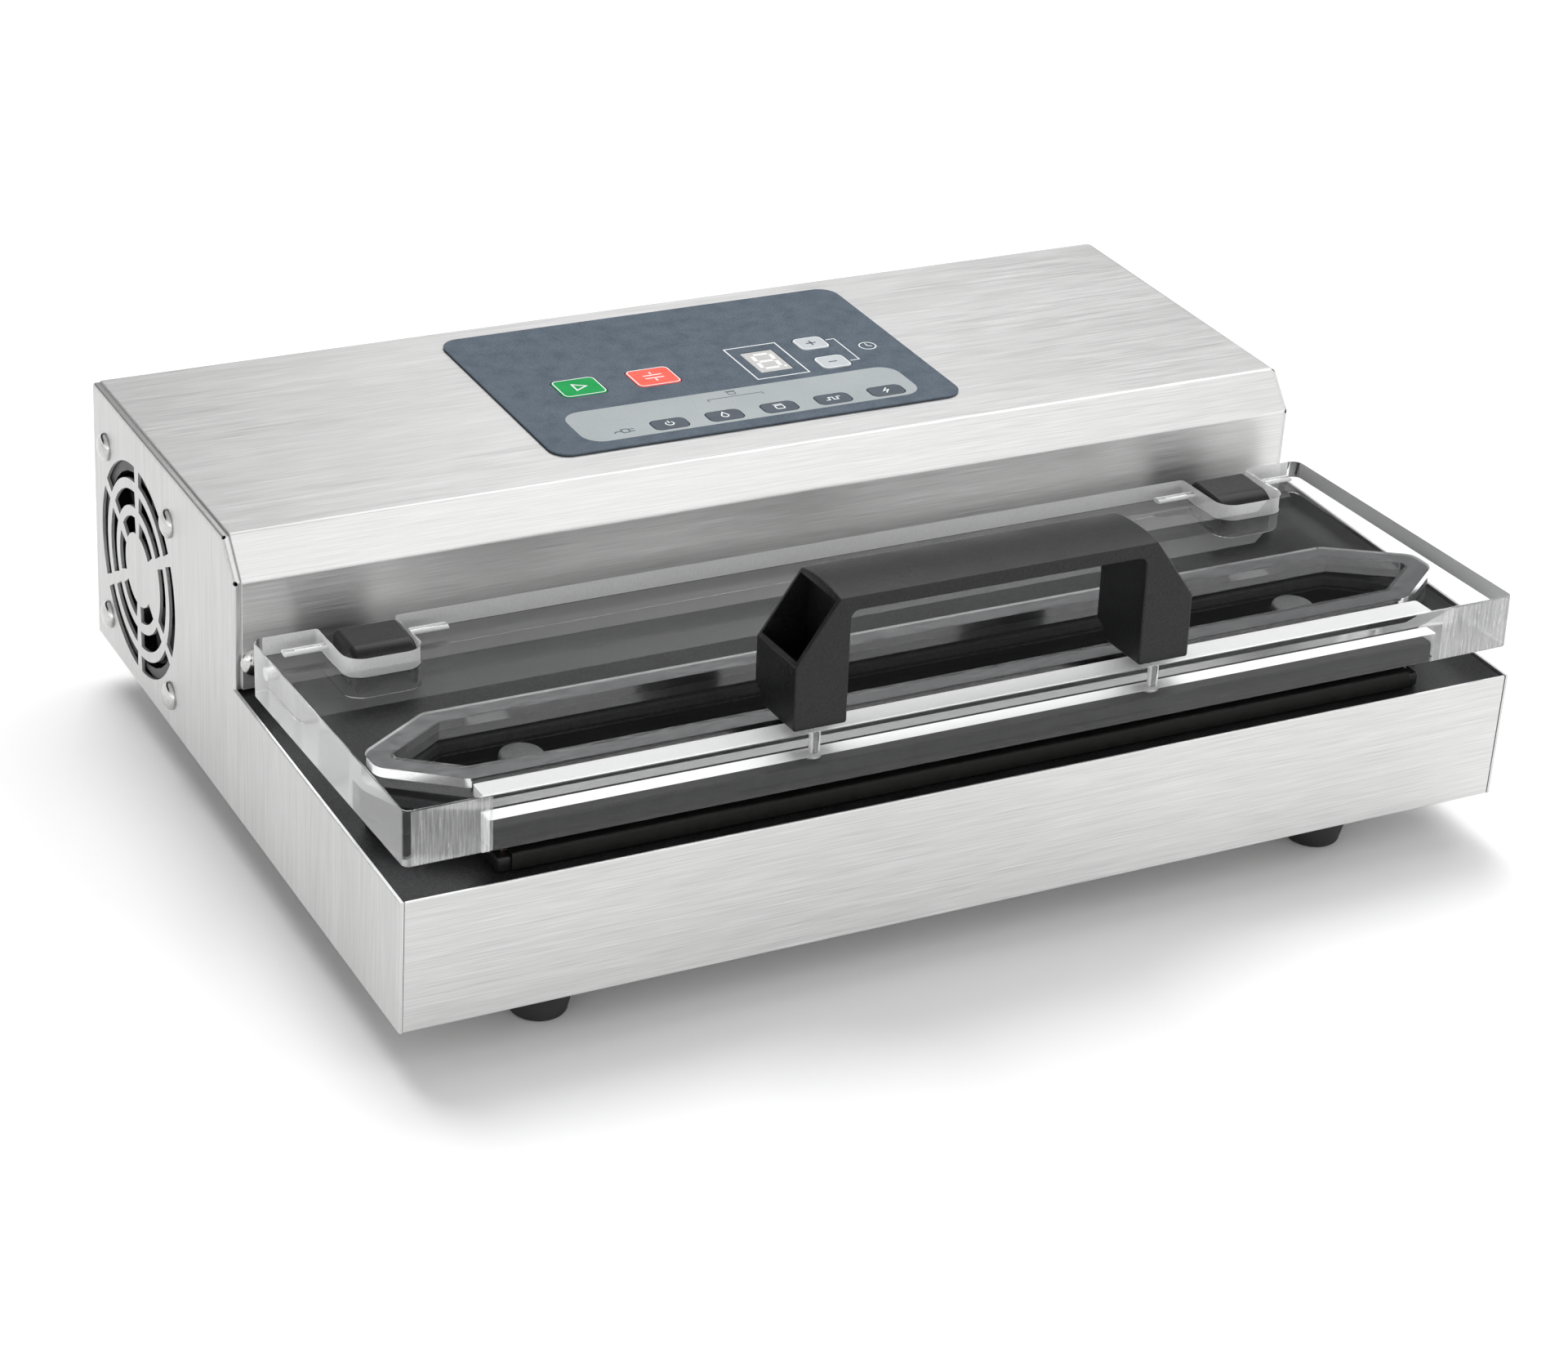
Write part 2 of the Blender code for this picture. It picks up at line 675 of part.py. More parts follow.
def fan_rotor():
    """The hub and its seven pitched blades, on an empty at the fan's axis."""
    blades = 7
    holder = empty("fan_axis", (FAN_X + 0.010, FAN_Y, FAN_Z))
    hub = rod_mesh(0.0155, (-0.0085, 0, 0), (0.0100, 0, 0), 28)
    rotor = add_part("fan_rotor", hub, "black_plastic", holder)
    for number in range(blades):
        blade = box_mesh((-0.0085, -0.0007, 0.012), (0.0085, 0.0007, 0.0365))
        blade.transform(Matrix.Rotation(math.radians(38), 4, "Z"))
        blade.transform(Matrix.Rotation(math.tau * number / blades, 4, "X"))
        join(rotor, blade)
    return rotor


def pump_motor():
    """The motor can, with its end bells and the bore that the shaft turns in."""
    motor = add_part("pump_motor", motor_rod(0.029, 0, 0.070, 32), "cast_aluminium")
    for start in (-0.004, 0.066):
        join(motor, motor_rod(0.024, start, start + 0.008, 24))
    cut(motor, motor_rod(0.0034, -0.010, 0.045, 16))
    return motor


def motor_rod(radius, start, end, sides):
    """A cylinder on the motor's axis, from start to end along it."""
    near = (MOTOR_X + start, MOTOR_Y, MOTOR_Z)
    return rod_mesh(radius, near, (MOTOR_X + end, MOTOR_Y, MOTOR_Z), sides)


def pump_head():
    """The twin-cylinder pump head, on the end of the motor, with an inlet spigot."""
    x = MOTOR_X + PUMP_HEAD_START
    low = (x, MOTOR_Y - 0.026, MOTOR_Z - 0.026)
    high = (x + 0.040, MOTOR_Y + 0.026, MOTOR_Z + 0.026)
    head = add_part("pump_head", box_mesh(low, high), "cast_aluminium")
    for side in (-1, 1):
        start = (x + 0.020, MOTOR_Y + side * 0.025, MOTOR_Z)
        join(head, rod_mesh(0.017, start, (x + 0.020, MOTOR_Y + side * 0.042, MOTOR_Z), 24))
    spigot = (x + 0.039, PUMP_SPIGOT_Y, MOTOR_Z)
    end = (x + PUMP_SPIGOT_REACH, PUMP_SPIGOT_Y, MOTOR_Z)
    join(head, rod_mesh(SPIGOT_RADIUS, spigot, end, 16))
    return head


def pump_flywheel():
    """The motor's shaft, with the balanced cooling wheel on its free end."""
    holder = empty("pump_axis", (MOTOR_X - 0.014, MOTOR_Y, MOTOR_Z))
    disc = rod_mesh(0.021, (-0.005, 0, 0), (0.003, 0, 0), 32)
    wheel = add_part("pump_flywheel", disc, "cast_aluminium", holder)
    join(wheel, rod_mesh(0.0025, (0.001, 0, 0), (0.055, 0, 0), 16))
    for number in range(6):
        fin = box_mesh((-0.010, -0.0008, 0.008), (-0.004, 0.0008, 0.0205))
        fin.transform(Matrix.Rotation(math.tau * number / 6, 4, "X"))
        join(wheel, fin)
    return wheel


def pump_bracket():
    """A base plate with two saddles, which carries the motor."""
    x = MOTOR_X
    low = (x - 0.002, MOTOR_Y - 0.040, PAN_TOP_Z)
    high = (x + 0.118, MOTOR_Y + 0.040, PAN_TOP_Z + 0.0025)
    bracket = add_part("pump_bracket", box_mesh(low, high), "polished_steel")
    for start in (x + 0.010, x + 0.050):
        corner = (start, MOTOR_Y - 0.024, high[2] - 0.001)
        join(bracket, box_mesh(corner, (start + 0.006, MOTOR_Y + 0.024, MOTOR_Z - 0.010)))
    cut(bracket, rod_mesh(0.0294, (x - 0.01, MOTOR_Y, MOTOR_Z), (x + 0.08, MOTOR_Y, MOTOR_Z), 32))
    return bracket


def transformer():
    """A laminated core, with its winding standing out on both sides."""
    x, y = TRANSFORMER_PLACE
    base = PAN_TOP_Z
    low = (x - 0.033, y - 0.014, base)
    core_mesh = box_mesh(low, (x + 0.033, y + 0.014, base + 0.055))
    core = add_part("transformer", core_mesh, "cast_aluminium")
    coil = rounded(rectangle((x, base + 0.0275), (0.040, 0.034)), 0.006, 3)
    join(core, front_plate_mesh(coil, y - 0.026, y + 0.026))
    return core


def valve_body():
    """The air valve between the pump and the channel, with a bore for its plunger and two spigots."""
    x, y = VALVE_PLACE
    half = 0.012
    base = PAN_TOP_Z
    low = (x - half, y - half, base)
    high = (x + half, y + half, base + VALVE_HEIGHT)
    body = add_part("valve_body", box_mesh(low, high), "black_plastic")
    for along, z in ((-1, SPIGOT_Z), (1, MOTOR_Z)):
        near = (x, y + along * 0.010, z)
        join(body, rod_mesh(SPIGOT_RADIUS, near, (x, y + along * VALVE_REACH, z), 16))
    cut(body, rod_mesh(0.0050, (x, y, base + 0.018), (x, y, base + 0.05), 20))
    return body


def valve_plunger():
    """The solenoid's plunger. It lifts to let air back into the channel."""
    x, y = VALVE_PLACE
    holder = empty("valve_axis", (x, y, PAN_TOP_Z + VALVE_HEIGHT))
    stem = rod_mesh(0.0045, (0, 0, -0.021), (0, 0, 0.006), 20)
    plunger = add_part("valve_plunger", stem, "polished_steel", holder)
    join(plunger, rod_mesh(0.0075, (0, 0, 0.0050), (0, 0, 0.0090), 20))
    return plunger


def hose(name, route):
    """A tube along a smooth curve through the route's points."""
    curve = bpy.data.curves.new(name, "CURVE")
    curve.dimensions = "3D"
    curve.bevel_depth = 0.0032
    curve.bevel_resolution = 2
    curve.use_fill_caps = True
    spline = curve.splines.new("POLY")
    points = smooth_route(route, 6)
    spline.points.add(len(points) - 1)
    for point, place in zip(spline.points, points):
        point.co = (*place, 1)
    tube = bpy.data.objects.new(name, curve)
    PARTS.objects.link(tube)
    curve.materials.append(make_material("silicone_hose"))
    return tube


def smooth_route(route, steps):
    """Points along a Catmull-Rom curve through a list of points."""
    ends = [Vector(p) for p in [route[0]] + list(route) + [route[-1]]]
    points = []
    for i in range(len(ends) - 3):
        a, b, c, d = ends[i : i + 4]
        for k in range(steps):
            t = k / steps
            curve = 2 * b + (c - a) * t + (2 * a - 5 * b + 4 * c - d) * t**2
            points.append((curve + (3 * b - a - 3 * c + d) * t**3) / 2)
    return points + [ends[-2]]


def straight_lead(end, along, length):
    """Three points in line, so that a hose leaves its spigot squarely."""
    way = Vector(along) * length
    return [end, end + way / 2, end + way]


def hoses():
    x, y = VALVE_PLACE
    deck_end = CHANNEL_WALL_Y + DECK_SPIGOT_REACH + GAP
    start = straight_lead(Vector((SPIGOT_X, deck_end, SPIGOT_Z)), (0, 1, 0), 0.014)
    end = straight_lead(Vector((x, y - VALVE_REACH - GAP, SPIGOT_Z)), (0, -1, 0), 0.014)
    middle = (start[0] + end[0]) / 2 - Vector((0, 0, 0.006))
    hose("chamber_hose", start + [middle] + end[::-1])
    valve_end = VALVE_REACH + GAP
    start = straight_lead(Vector((x, y + valve_end, MOTOR_Z)), (0, 1, 0), 0.012)
    pump_end = MOTOR_X + PUMP_HEAD_START + PUMP_SPIGOT_REACH + GAP
    spigot_end = Vector((pump_end, PUMP_SPIGOT_Y, MOTOR_Z))
    end = straight_lead(spigot_end, (1, 0, 0), 0.010)
    turn = Vector((x - 0.006, spigot_end.y - 0.006, MOTOR_Z))
    hose("pump_hose", start + [turn] + end[::-1])


def accessory_port():
    """A flanged socket in the right cheek, for the hose of a canister. Its barb is inside."""
    x, y, z = PORT_PLACE
    flange = rod_mesh(0.0100, (x + 0.0001, y, z), (x + 0.0031, y, z), 28)
    port = add_part("accessory_port", flange, "black_plastic")
    join(port, rod_mesh(0.0058, (x - 0.018, y, z), (x + 0.001, y, z), 24))
    cut(port, rod_mesh(0.0042, (x - 0.03, y, z), (x + 0.01, y, z), 20))
    return port


def power_inlet():
    """A three-pin inlet that snaps into the rear panel."""
    x, z = INLET_PLACE
    face = REAR_PANEL_Y + 0.0001
    flange = rounded(rectangle((x, z), (0.0340, 0.0260)), 0.003, 3)
    inlet = add_part("power_inlet", front_plate_mesh(flange, face, face + 0.0020), "black_plastic")
    body = rectangle((x, z), (0.0272, 0.0200))
    join(inlet, front_plate_mesh(body, face - 0.022, face + 0.0005))
    cavity = rounded(rectangle((x, z), (0.0244, 0.0172)), 0.003, 3)
    cut(inlet, front_plate_mesh(cavity, face - 0.017, face + 0.01))
    for step, height in ((-0.0070, 0.0015), (0.0, 0.0045), (0.0070, 0.0015)):
        low = (x + step - 0.0010, face - 0.018, z + height - 0.0020)
        join(inlet, box_mesh(low, (x + step + 0.0010, face - 0.004, z + height + 0.0020)))
    return inlet


# ---------------------------------------------------------------- lid


def lid_y(distance):
    """The lid's own Y of a distance measured forwards from the lid's rear edge."""
    return LID_REAR - distance


def lid_panel(hinge):
    """The clear slab, with a notch round each hinge block, a ring groove and a slot for the pressing strip."""
    half = LID_WIDTH / 2
    front = lid_y(LID_DEPTH)
    corners = [(-half, front), (half, front), (half, LID_REAR), (-half, LID_REAR)]
    outline = rounded(corners, 0.004, 3)
    low, high = -LID_THICKNESS / 2, LID_THICKNESS / 2
    panel = add_part("lid_panel", plate_mesh(outline, low, high), "clear_acrylic", hinge)
    for side, _ in SIDES:
        notch = notch_outline(side)
        cut(panel, plate_mesh(notch, low - 0.01, high + 0.01))
        cut(panel, rod_mesh(PIN_BORE, (side * 0.150, 0, 0), (side * 0.212, 0, 0), 16))
    corners = ring_corners(LID_REAR)
    outer = plate_mesh(rounded(corners, RING_ROUND, 4), low - 0.01, low + RING_GROOVE)
    ring = add_part("ring_tool", outer, None, hinge, CUTTERS)
    core = rounded(inset(corners, RING_WIDTH), CHANNEL_ROUND, 4)
    cut(ring, plate_mesh(core, low - 0.02, high))
    cut(panel, ring)
    slot_low = (-SLOT_HALF, lid_y(SLOT_FRONT), low - 0.01)
    cut(panel, box_mesh(slot_low, (SLOT_HALF, lid_y(SLOT_BACK), low + SLOT_HEIGHT)))
    for side, _ in SIDES:
        place = (side * HANDLE_SCREW_X, HANDLE_SCREW_Y)
        cut(panel, rod_mesh(0.0022, (*place, low), (*place, high + 0.01), 12))
    return panel


def notch_outline(side):
    """A notch that is open at the lid's rear edge, with rounded inner corners."""
    radius = 0.007
    y = lid_y(NOTCH_DEPTH) + radius
    points = [(NOTCH_OUTER_X, LID_REAR + 0.01), (NOTCH_INNER_X, LID_REAR + 0.01)]
    for x, start in ((NOTCH_INNER_X + radius, 180), (NOTCH_OUTER_X - radius, 270)):
        for k in range(5):
            angle = math.radians(start + 90 * k / 4)
            points.append((x + radius * math.cos(angle), y + radius * math.sin(angle)))
    return [(side * x, y) for x, y in points]


def lid_gasket(hinge):
    """The soft ring pressed into the lid's groove."""
    corners = inset(ring_corners(LID_REAR), GAP)
    low = -LID_THICKNESS / 2 - RING_PROUD
    high = -LID_THICKNESS / 2 + RING_GROOVE - GAP
    outline = rounded(corners, RING_ROUND - GAP, 4)
    gasket = add_part("lid_gasket", plate_mesh(outline, low, high), "gasket_foam", hinge)
    hole = rounded(inset(corners, RING_WIDTH - 2 * GAP), CHANNEL_ROUND, 4)
    cut(gasket, plate_mesh(hole, low - 0.01, high + 0.01))
    return gasket


def seal_strip(hinge):
    """The silicone bar in the lid's front slot, which presses the bag on the heating strip."""
    low_z = -LID_THICKNESS / 2 - STRIP_PROUD
    low = (-SLOT_HALF + 0.001, lid_y(SLOT_FRONT) + GAP, low_z)
    high = (SLOT_HALF - 0.001, lid_y(SLOT_BACK) - GAP, low_z + STRIP_HEIGHT)
    strip = add_part("seal_strip", box_mesh(low, high), "black_rubber", hinge)
    edge = strip.modifiers.new("edge", "BEVEL")
    edge.width = 0.0012
    edge.segments = 2
    return strip


def lid_handle(hinge):
    """The bridge handle. Its slanted ends are open pockets between thin walls."""
    half, height = HANDLE_HALF, HANDLE_HEIGHT
    base = LID_THICKNESS / 2 + 0.0001
    inner, under = HANDLE_LEG_INNER, HANDLE_UNDER
    outline = [(-half, 0), (-inner, 0), (-inner, under), (inner, under), (inner, 0), (half, 0)]
    for side in (1, -1):
        slant = [(half, HANDLE_SHOULDER), (HANDLE_TOP_HALF, height)][::side]
        outline += [(side * x, z) for x, z in slant]
    outline = [(x, base + z) for x, z in outline]
    back, front = lid_y(HANDLE_BACK), lid_y(HANDLE_FRONT)
    handle = add_part("lid_handle", front_plate_mesh(outline, front, back), "handle_plastic", hinge)
    for side, _ in SIDES:
        near, far = inner + HANDLE_WALL, half - HANDLE_WALL
        pocket = [(near, 0.018), (far, 0.018), (far, 0.0277), (0.088, 0.035), (0.073, 0.052)]
        pocket += [(0.0643, 0.0460), (near, 0.0425)]
        pocket = [(side * x, base + z) for x, z in pocket]
        cut(handle, front_plate_mesh(pocket, front + HANDLE_WALL, back - HANDLE_WALL))
        place = (side * HANDLE_SCREW_X, HANDLE_SCREW_Y)
        cut(handle, rod_mesh(0.0022, (*place, base - 0.01), (*place, base + 0.009), 12))
        cut(handle, rod_mesh(HANDLE_SCOOP, (side * 0.05, back, base), (side * 0.09, back, base), 32))
    return handle


def handle_screw(hinge, side, label):
    """A screw whose head sits in the roof of the strip's slot."""
    roof = -LID_THICKNESS / 2 + SLOT_HEIGHT
    place = (side * HANDLE_SCREW_X, HANDLE_SCREW_Y)
    head = rod_mesh(0.0040, (*place, roof - 0.0026), (*place, roof - 0.0002), 20)
    screw = add_part(f"handle_screw_{label}", head, "polished_steel", hinge)
    join(screw, rod_mesh(0.0018, (*place, roof - 0.001), (*place, roof + 0.018), 12))
    return screw


def lid():
    hinge = empty("lid_hinge_axis", (0, HINGE_Y, HINGE_Z))
    hinge.rotation_euler = (-LID_TILT, 0, 0)
    lid_panel(hinge)
    lid_gasket(hinge)
    seal_strip(hinge)
    lid_handle(hinge)
    for side, label in SIDES:
        handle_screw(hinge, side, label)


def empty(name, place):
    holder = bpy.data.objects.new(name, None)
    holder.location = place
    PARTS.objects.link(holder)
    return holder


# ---------------------------------------------------------------- places worked out from the sizes above

SIDES = ((-1, "left"), (1, "right"))
FAN_X = -INNER_X + GAP
REAR_PANEL_Y = REAR_Y - 0.003
PORT_PLACE = (WIDTH / 2, 0.060, FLOOR_Z + 0.045)
INLET_PLACE = (-0.150, FLOOR_Z + 0.050)
PAN_TOP_Z = FLOOR_Z + SHEET + GAP
CHANNEL_WALL_Y = HINGE_Y + LID_REAR - RING_BACK - RING_WIDTH
SPIGOT_X = 0.140
SPIGOT_Z = DECK_Z - 0.0105
BAR_Y = -0.1429
BAR_TOP_Z = DECK_Z + 0.0060
CLIP_Y = -0.105
MOTOR_X = -0.020
MOTOR_Y = 0.080
MOTOR_Z = FLOOR_Z + 0.0385
PUMP_SPIGOT_Y = MOTOR_Y + 0.015
TRANSFORMER_PLACE = (-0.130, 0.045)
VALVE_PLACE = (SPIGOT_X, 0.036)
HANDLE_SCREW_X = 0.068
HANDLE_SCREW_Y = lid_y((SLOT_BACK + SLOT_FRONT) / 2)

clear_scene()
PARTS = make_collection("vacuum_sealer")
CUTTERS = make_collection("cutters")
CUTTERS.hide_render = True


def main():
    chassis_pan()
    housing_cover()
    rear_panel()
    work_deck()
    drip_tray()
    lower_gasket()
    seal_bar()
    heating_strip()
    ptfe_cover()
    for side, label in SIDES:
        bag_clip(side, label)
        hinge_block(side, label)
        hinge_pin(side, label)
    housing_screws()
    feet()
    control_overlay()
    display_window()
    control_board()
    display_digit()
    keys()
    fan_frame()
    fan_rotor()
    pump_motor()
    pump_head()
    pump_flywheel()
    pump_bracket()
    transformer()
    valve_body()
    valve_plunger()
    hoses()
    accessory_port()
    power_inlet()
    lid()


main()
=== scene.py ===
"""Looks for the vacuum sealer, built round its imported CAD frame. Metres, in the CAD's own frame."""

import json
import math

import bmesh
import bpy
from mathutils import Matrix, Vector

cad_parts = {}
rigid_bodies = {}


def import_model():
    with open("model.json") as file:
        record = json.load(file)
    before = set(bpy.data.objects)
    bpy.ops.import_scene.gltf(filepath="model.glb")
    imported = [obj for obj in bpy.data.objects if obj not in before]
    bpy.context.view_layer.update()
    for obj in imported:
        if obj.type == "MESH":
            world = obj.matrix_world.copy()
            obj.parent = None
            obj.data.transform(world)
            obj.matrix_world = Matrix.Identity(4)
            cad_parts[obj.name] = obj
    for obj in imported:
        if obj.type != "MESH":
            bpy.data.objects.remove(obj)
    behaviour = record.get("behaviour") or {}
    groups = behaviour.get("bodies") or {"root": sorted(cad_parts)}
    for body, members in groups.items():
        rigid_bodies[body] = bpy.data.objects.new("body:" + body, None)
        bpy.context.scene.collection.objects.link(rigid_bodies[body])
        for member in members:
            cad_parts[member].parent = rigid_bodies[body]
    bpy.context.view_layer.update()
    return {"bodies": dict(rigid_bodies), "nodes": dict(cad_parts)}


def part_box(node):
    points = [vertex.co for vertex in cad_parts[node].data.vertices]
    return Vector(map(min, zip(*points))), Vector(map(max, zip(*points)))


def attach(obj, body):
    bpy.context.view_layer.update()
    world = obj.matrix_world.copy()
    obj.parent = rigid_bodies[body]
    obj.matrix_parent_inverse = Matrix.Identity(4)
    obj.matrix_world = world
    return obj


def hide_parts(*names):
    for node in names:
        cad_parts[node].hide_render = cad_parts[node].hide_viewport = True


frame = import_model()

# ---- sizes

PAN_LOW, PAN_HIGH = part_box("chassis_pan")
HALF = PAN_HIGH.x
FRONT_Y, REAR_Y = PAN_LOW.y, PAN_HIGH.y
FLOOR_Z, TOP_Z = PAN_LOW.z, PAN_HIGH.z
SHEET = 0.0012
INNER_X = HALF - SHEET
RIM_Z = FLOOR_Z + 0.0505
WALL_Z = FLOOR_Z + 0.0934
BEVEL_Y = 0.0121
FOLD = 0.0020
COVER_HALF = HALF - 0.0028

DECK_LOW, DECK_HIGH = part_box("work_deck")
DECK_Z = DECK_HIGH.z
CHANNEL_DEPTH = 0.016

HINGE_Y = -0.0197
HINGE_Z = FLOOR_Z + 0.0667
LID = Matrix.Translation((0, HINGE_Y, HINGE_Z)) @ Matrix.Rotation(math.radians(-2.56), 4, "X")
LID_HALF = 0.2213
LID_REAR = 0.008
LID_FRONT = LID_REAR - 0.1423
LID_UNDER, LID_TOP = -0.01045, 0.01045
NOTCH_INNER, NOTCH_OUTER = 0.167, 0.196
NOTCH_Y = LID_REAR - 0.030
NOTCH_ROUND = 0.007
RING_BACK, RING_FRONT = 0.069, 0.121
RING_WIDTH = 0.009
RING_GROOVE = 0.009
SLOT_HALF = 0.190
SLOT_Y = (LID_REAR - 0.1365, LID_REAR - 0.125)
SLOT_HEIGHT = 0.0096
HANDLE_SCREW = (0.068, LID_REAR - 0.13075)
PIN_BORE, SCREW_BORE = 0.0025, 0.0022

FAN_Y, FAN_Z = 0.1061, FLOOR_Z + 0.0495
OVERLAY_LOW, OVERLAY_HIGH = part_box("control_overlay")
OVERLAY_TOP = OVERLAY_HIGH.z
BAND = (0.0020, 0.0503, 0.1437, 0.0280)
DISPLAY = (0.0290, 0.0844)
INK_GAP = 0.00001
KEY_BODIES = sorted(body for body in frame["bodies"] if body.startswith("key_"))
SIDES = ((-1, "left"), (1, "right"))

# ---- mesh tools


def mesh_from(bm):
    bmesh.ops.recalc_face_normals(bm, faces=bm.faces)
    if bm.calc_volume(signed=True) < 0:
        bmesh.ops.reverse_faces(bm, faces=bm.faces)
    return mesh_of(bm)


def mesh_of(bm):
    mesh = bpy.data.meshes.new("mesh")
    bm.to_mesh(mesh)
    bm.free()
    return mesh


def rectangle(x, y, width, height):
    w, h = width / 2, height / 2
    return [(x - w, y - h), (x + w, y - h), (x + w, y + h), (x - w, y + h)]


def filleted(corners, steps=6):
    """An outline from (x, y, radius) corners, each turned into an arc."""
    points = []
    for i, (x, y, radius) in enumerate(corners):
        here = Vector((x, y))
        if not radius:
            points.append((x, y))
            continue
        before = (Vector(corners[i - 1][:2]) - here).normalized()
        after = (Vector(corners[(i + 1) % len(corners)][:2]) - here).normalized()
        half = before.angle(after) / 2
        centre = here + (before + after).normalized() * radius / math.sin(half)
        reach = radius / math.tan(half)
        first = (here + before * reach - centre).normalized()
        last = (here + after * reach - centre).normalized()
        points += [tuple(centre + first.slerp(last, k / steps) * radius) for k in range(steps + 1)]
    return points


def rounded(corners, radius, steps=6):
    return filleted([(x, y, radius) for x, y in corners], steps)


def circle(x, y, radius, steps=32):
    turns = [math.tau * k / steps for k in range(steps)]
    return [(x + radius * math.cos(a), y + radius * math.sin(a)) for a in turns]


def without_repeats(outline):
    kept = []
    for point in outline:
        if not kept or (Vector(point) - Vector(kept[-1])).length > 1e-6:
            kept.append(point)
    if (Vector(kept[0]) - Vector(kept[-1])).length < 1e-6:
        kept.pop()
    return kept


def shrink(outline, distance):
    """An anticlockwise outline with every side moved inwards."""
    moved = []
    for i, point in enumerate(outline):
        here = Vector(point)
        way_in = (here - Vector(outline[i - 1])).normalized()
        way_out = (Vector(outline[(i + 1) % len(outline)]) - here).normalized()
        a, b = Vector((-way_in.y, way_in.x)), Vector((-way_out.y, way_out.x))
        moved.append(tuple(here + (a + b) * distance / (1 + a.dot(b))))
    return moved


def stacked(levels):
    """A closed solid through outlines of one length, each given with its height."""
    bm = bmesh.new()
    loops = [[bm.verts.new((x, y, z)) for x, y in outline] for outline, z in levels]
    count = len(loops[0])
    for below, above in zip(loops, loops[1:]):
        for i in range(count):
            j = (i + 1) % count
            bm.faces.new((below[i], below[j], above[j], above[i]))
    bm.faces.new(loops[0][::-1])
    bm.faces.new(loops[-1])
    return mesh_from(bm)


def soft_plate(outline, low, high, edge=0.0004, steps=2, middle=0):
    """A plate in X and Y, whose top and bottom edges are rounded."""
    outline = without_repeats(outline)
    levels = []
    for k in range(steps + 1):
        angle = math.pi / 2 * k / steps
        levels.append((edge * (1 - math.sin(angle)), low + edge * (1 - math.cos(angle))))
    upper = [(inset, low + high - z) for inset, z in reversed(levels)]
    for k in range(1, middle + 1):
        start, end = low + edge, high - edge
        levels.append((0.0, start + (end - start) * k / (middle + 1)))
    return stacked([(shrink(outline, inset) if inset else outline, z) for inset, z in levels + upper])


def plate(outline, low, high):
    """A plate with plain edges, mostly for cutting."""
    outline = without_repeats(outline)
    return stacked([(outline, low), (outline, high)])


def to_side(mesh):
    """Turns a plate's X, Y and thickness into Y, Z and X."""
    mesh.transform(Matrix(((0, 0, 1, 0), (1, 0, 0, 0), (0, 1, 0, 0), (0, 0, 0, 1))))
    return mesh


def to_front(mesh):
    """Turns a plate's X, Y and thickness into X, Z and -Y."""
    mesh.transform(Matrix(((1, 0, 0, 0), (0, 0, -1, 0), (0, 1, 0, 0), (0, 0, 0, 1))))
    return mesh


def between(low, high):
    """The rectangle in X and Y between two corners."""
    return rectangle((low[0] + high[0]) / 2, (low[1] + high[1]) / 2, high[0] - low[0], high[1] - low[1])


def block(low, high, edge=0.0004):
    return soft_plate(rounded(between(low, high), edge, 2), low[2], high[2], edge)


def box_of(name):
    """The low corner, high corner and centre of a CAD node's or body's box."""
    low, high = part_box(name)
    return low, high, (low + high) / 2


def turned(profile, where, along=(0, 0, 1), steps=48):
    """A profile of (radius, height) points, from axis to axis, turned about a line."""
    bm = bmesh.new()
    rings = []
    for radius, height in profile:
        outline = circle(0, 0, radius, steps) if radius else [(0, 0)]
        rings.append([bm.verts.new((x, y, height)) for x, y in outline])
    for one, two in zip(rings, rings[1:]):
        for k in range(steps):
            n = (k + 1) % steps
            corners = [one[k % len(one)], one[n % len(one)], two[n % len(two)], two[k % len(two)]]
            bm.faces.new(list(dict.fromkeys(corners)))
    mesh = mesh_from(bm)
    mesh.transform(Matrix.Translation(where) @ Vector(along).to_track_quat("Z", "Y").to_matrix().to_4x4())
    return mesh


def rod(radius, start, end, steps=32):
    way = Vector(end) - Vector(start)
    profile = [(0, 0), (radius, 0), (radius, way.length), (0, way.length)]
    return turned(profile, start, way, steps)


def arc_profile(radius, centre_r, centre_h, start, end, steps=5):
    """Points on an arc in a turned profile. Angles in degrees, from the radius towards the height."""
    turns = [math.radians(start + (end - start) * k / steps) for k in range(steps + 1)]
    return [(centre_r + radius * math.cos(a), centre_h + radius * math.sin(a)) for a in turns]


def ribbon(points, width, low, high, closed=False):
    """A flat line of even width along some points, with mitred corners."""
    points = [Vector(p) for p in points]
    count = len(points)
    bm = bmesh.new()
    rows = []
    for i, here in enumerate(points):
        before = points[i - 1] if closed or i else here - (points[1] - here)
        after = points[(i + 1) % count] if closed or i < count - 1 else here + (here - points[i - 1])
        one, two = (here - before).normalized(), (after - here).normalized()
        a, b = Vector((-one.y, one.x)), Vector((-two.y, two.x))
        out = (a + b) * width / 2 / (1 + a.dot(b))
        corners = [here + out, here - out]
        rows.append([bm.verts.new((p.x, p.y, z)) for p in corners for z in (low, high)])
    pairs = list(zip(rows, rows[1:])) + ([(rows[-1], rows[0])] if closed else [])
    for one, two in pairs:
        for a, b in ((0, 1), (1, 3), (3, 2), (2, 0)):
            bm.faces.new((one[a], one[b], two[b], two[a]))
    if not closed:
        for row in (rows[0], rows[-1]):
            bm.faces.new((row[0], row[1], row[3], row[2]))
    return mesh_from(bm)


def merged(meshes):
    bm = bmesh.new()
    for mesh in meshes:
        bm.from_mesh(mesh)
    return mesh_of(bm)


def add_object(name, data):
    obj = bpy.data.objects.new(name, data)
    bpy.context.scene.collection.objects.link(obj)
    return obj


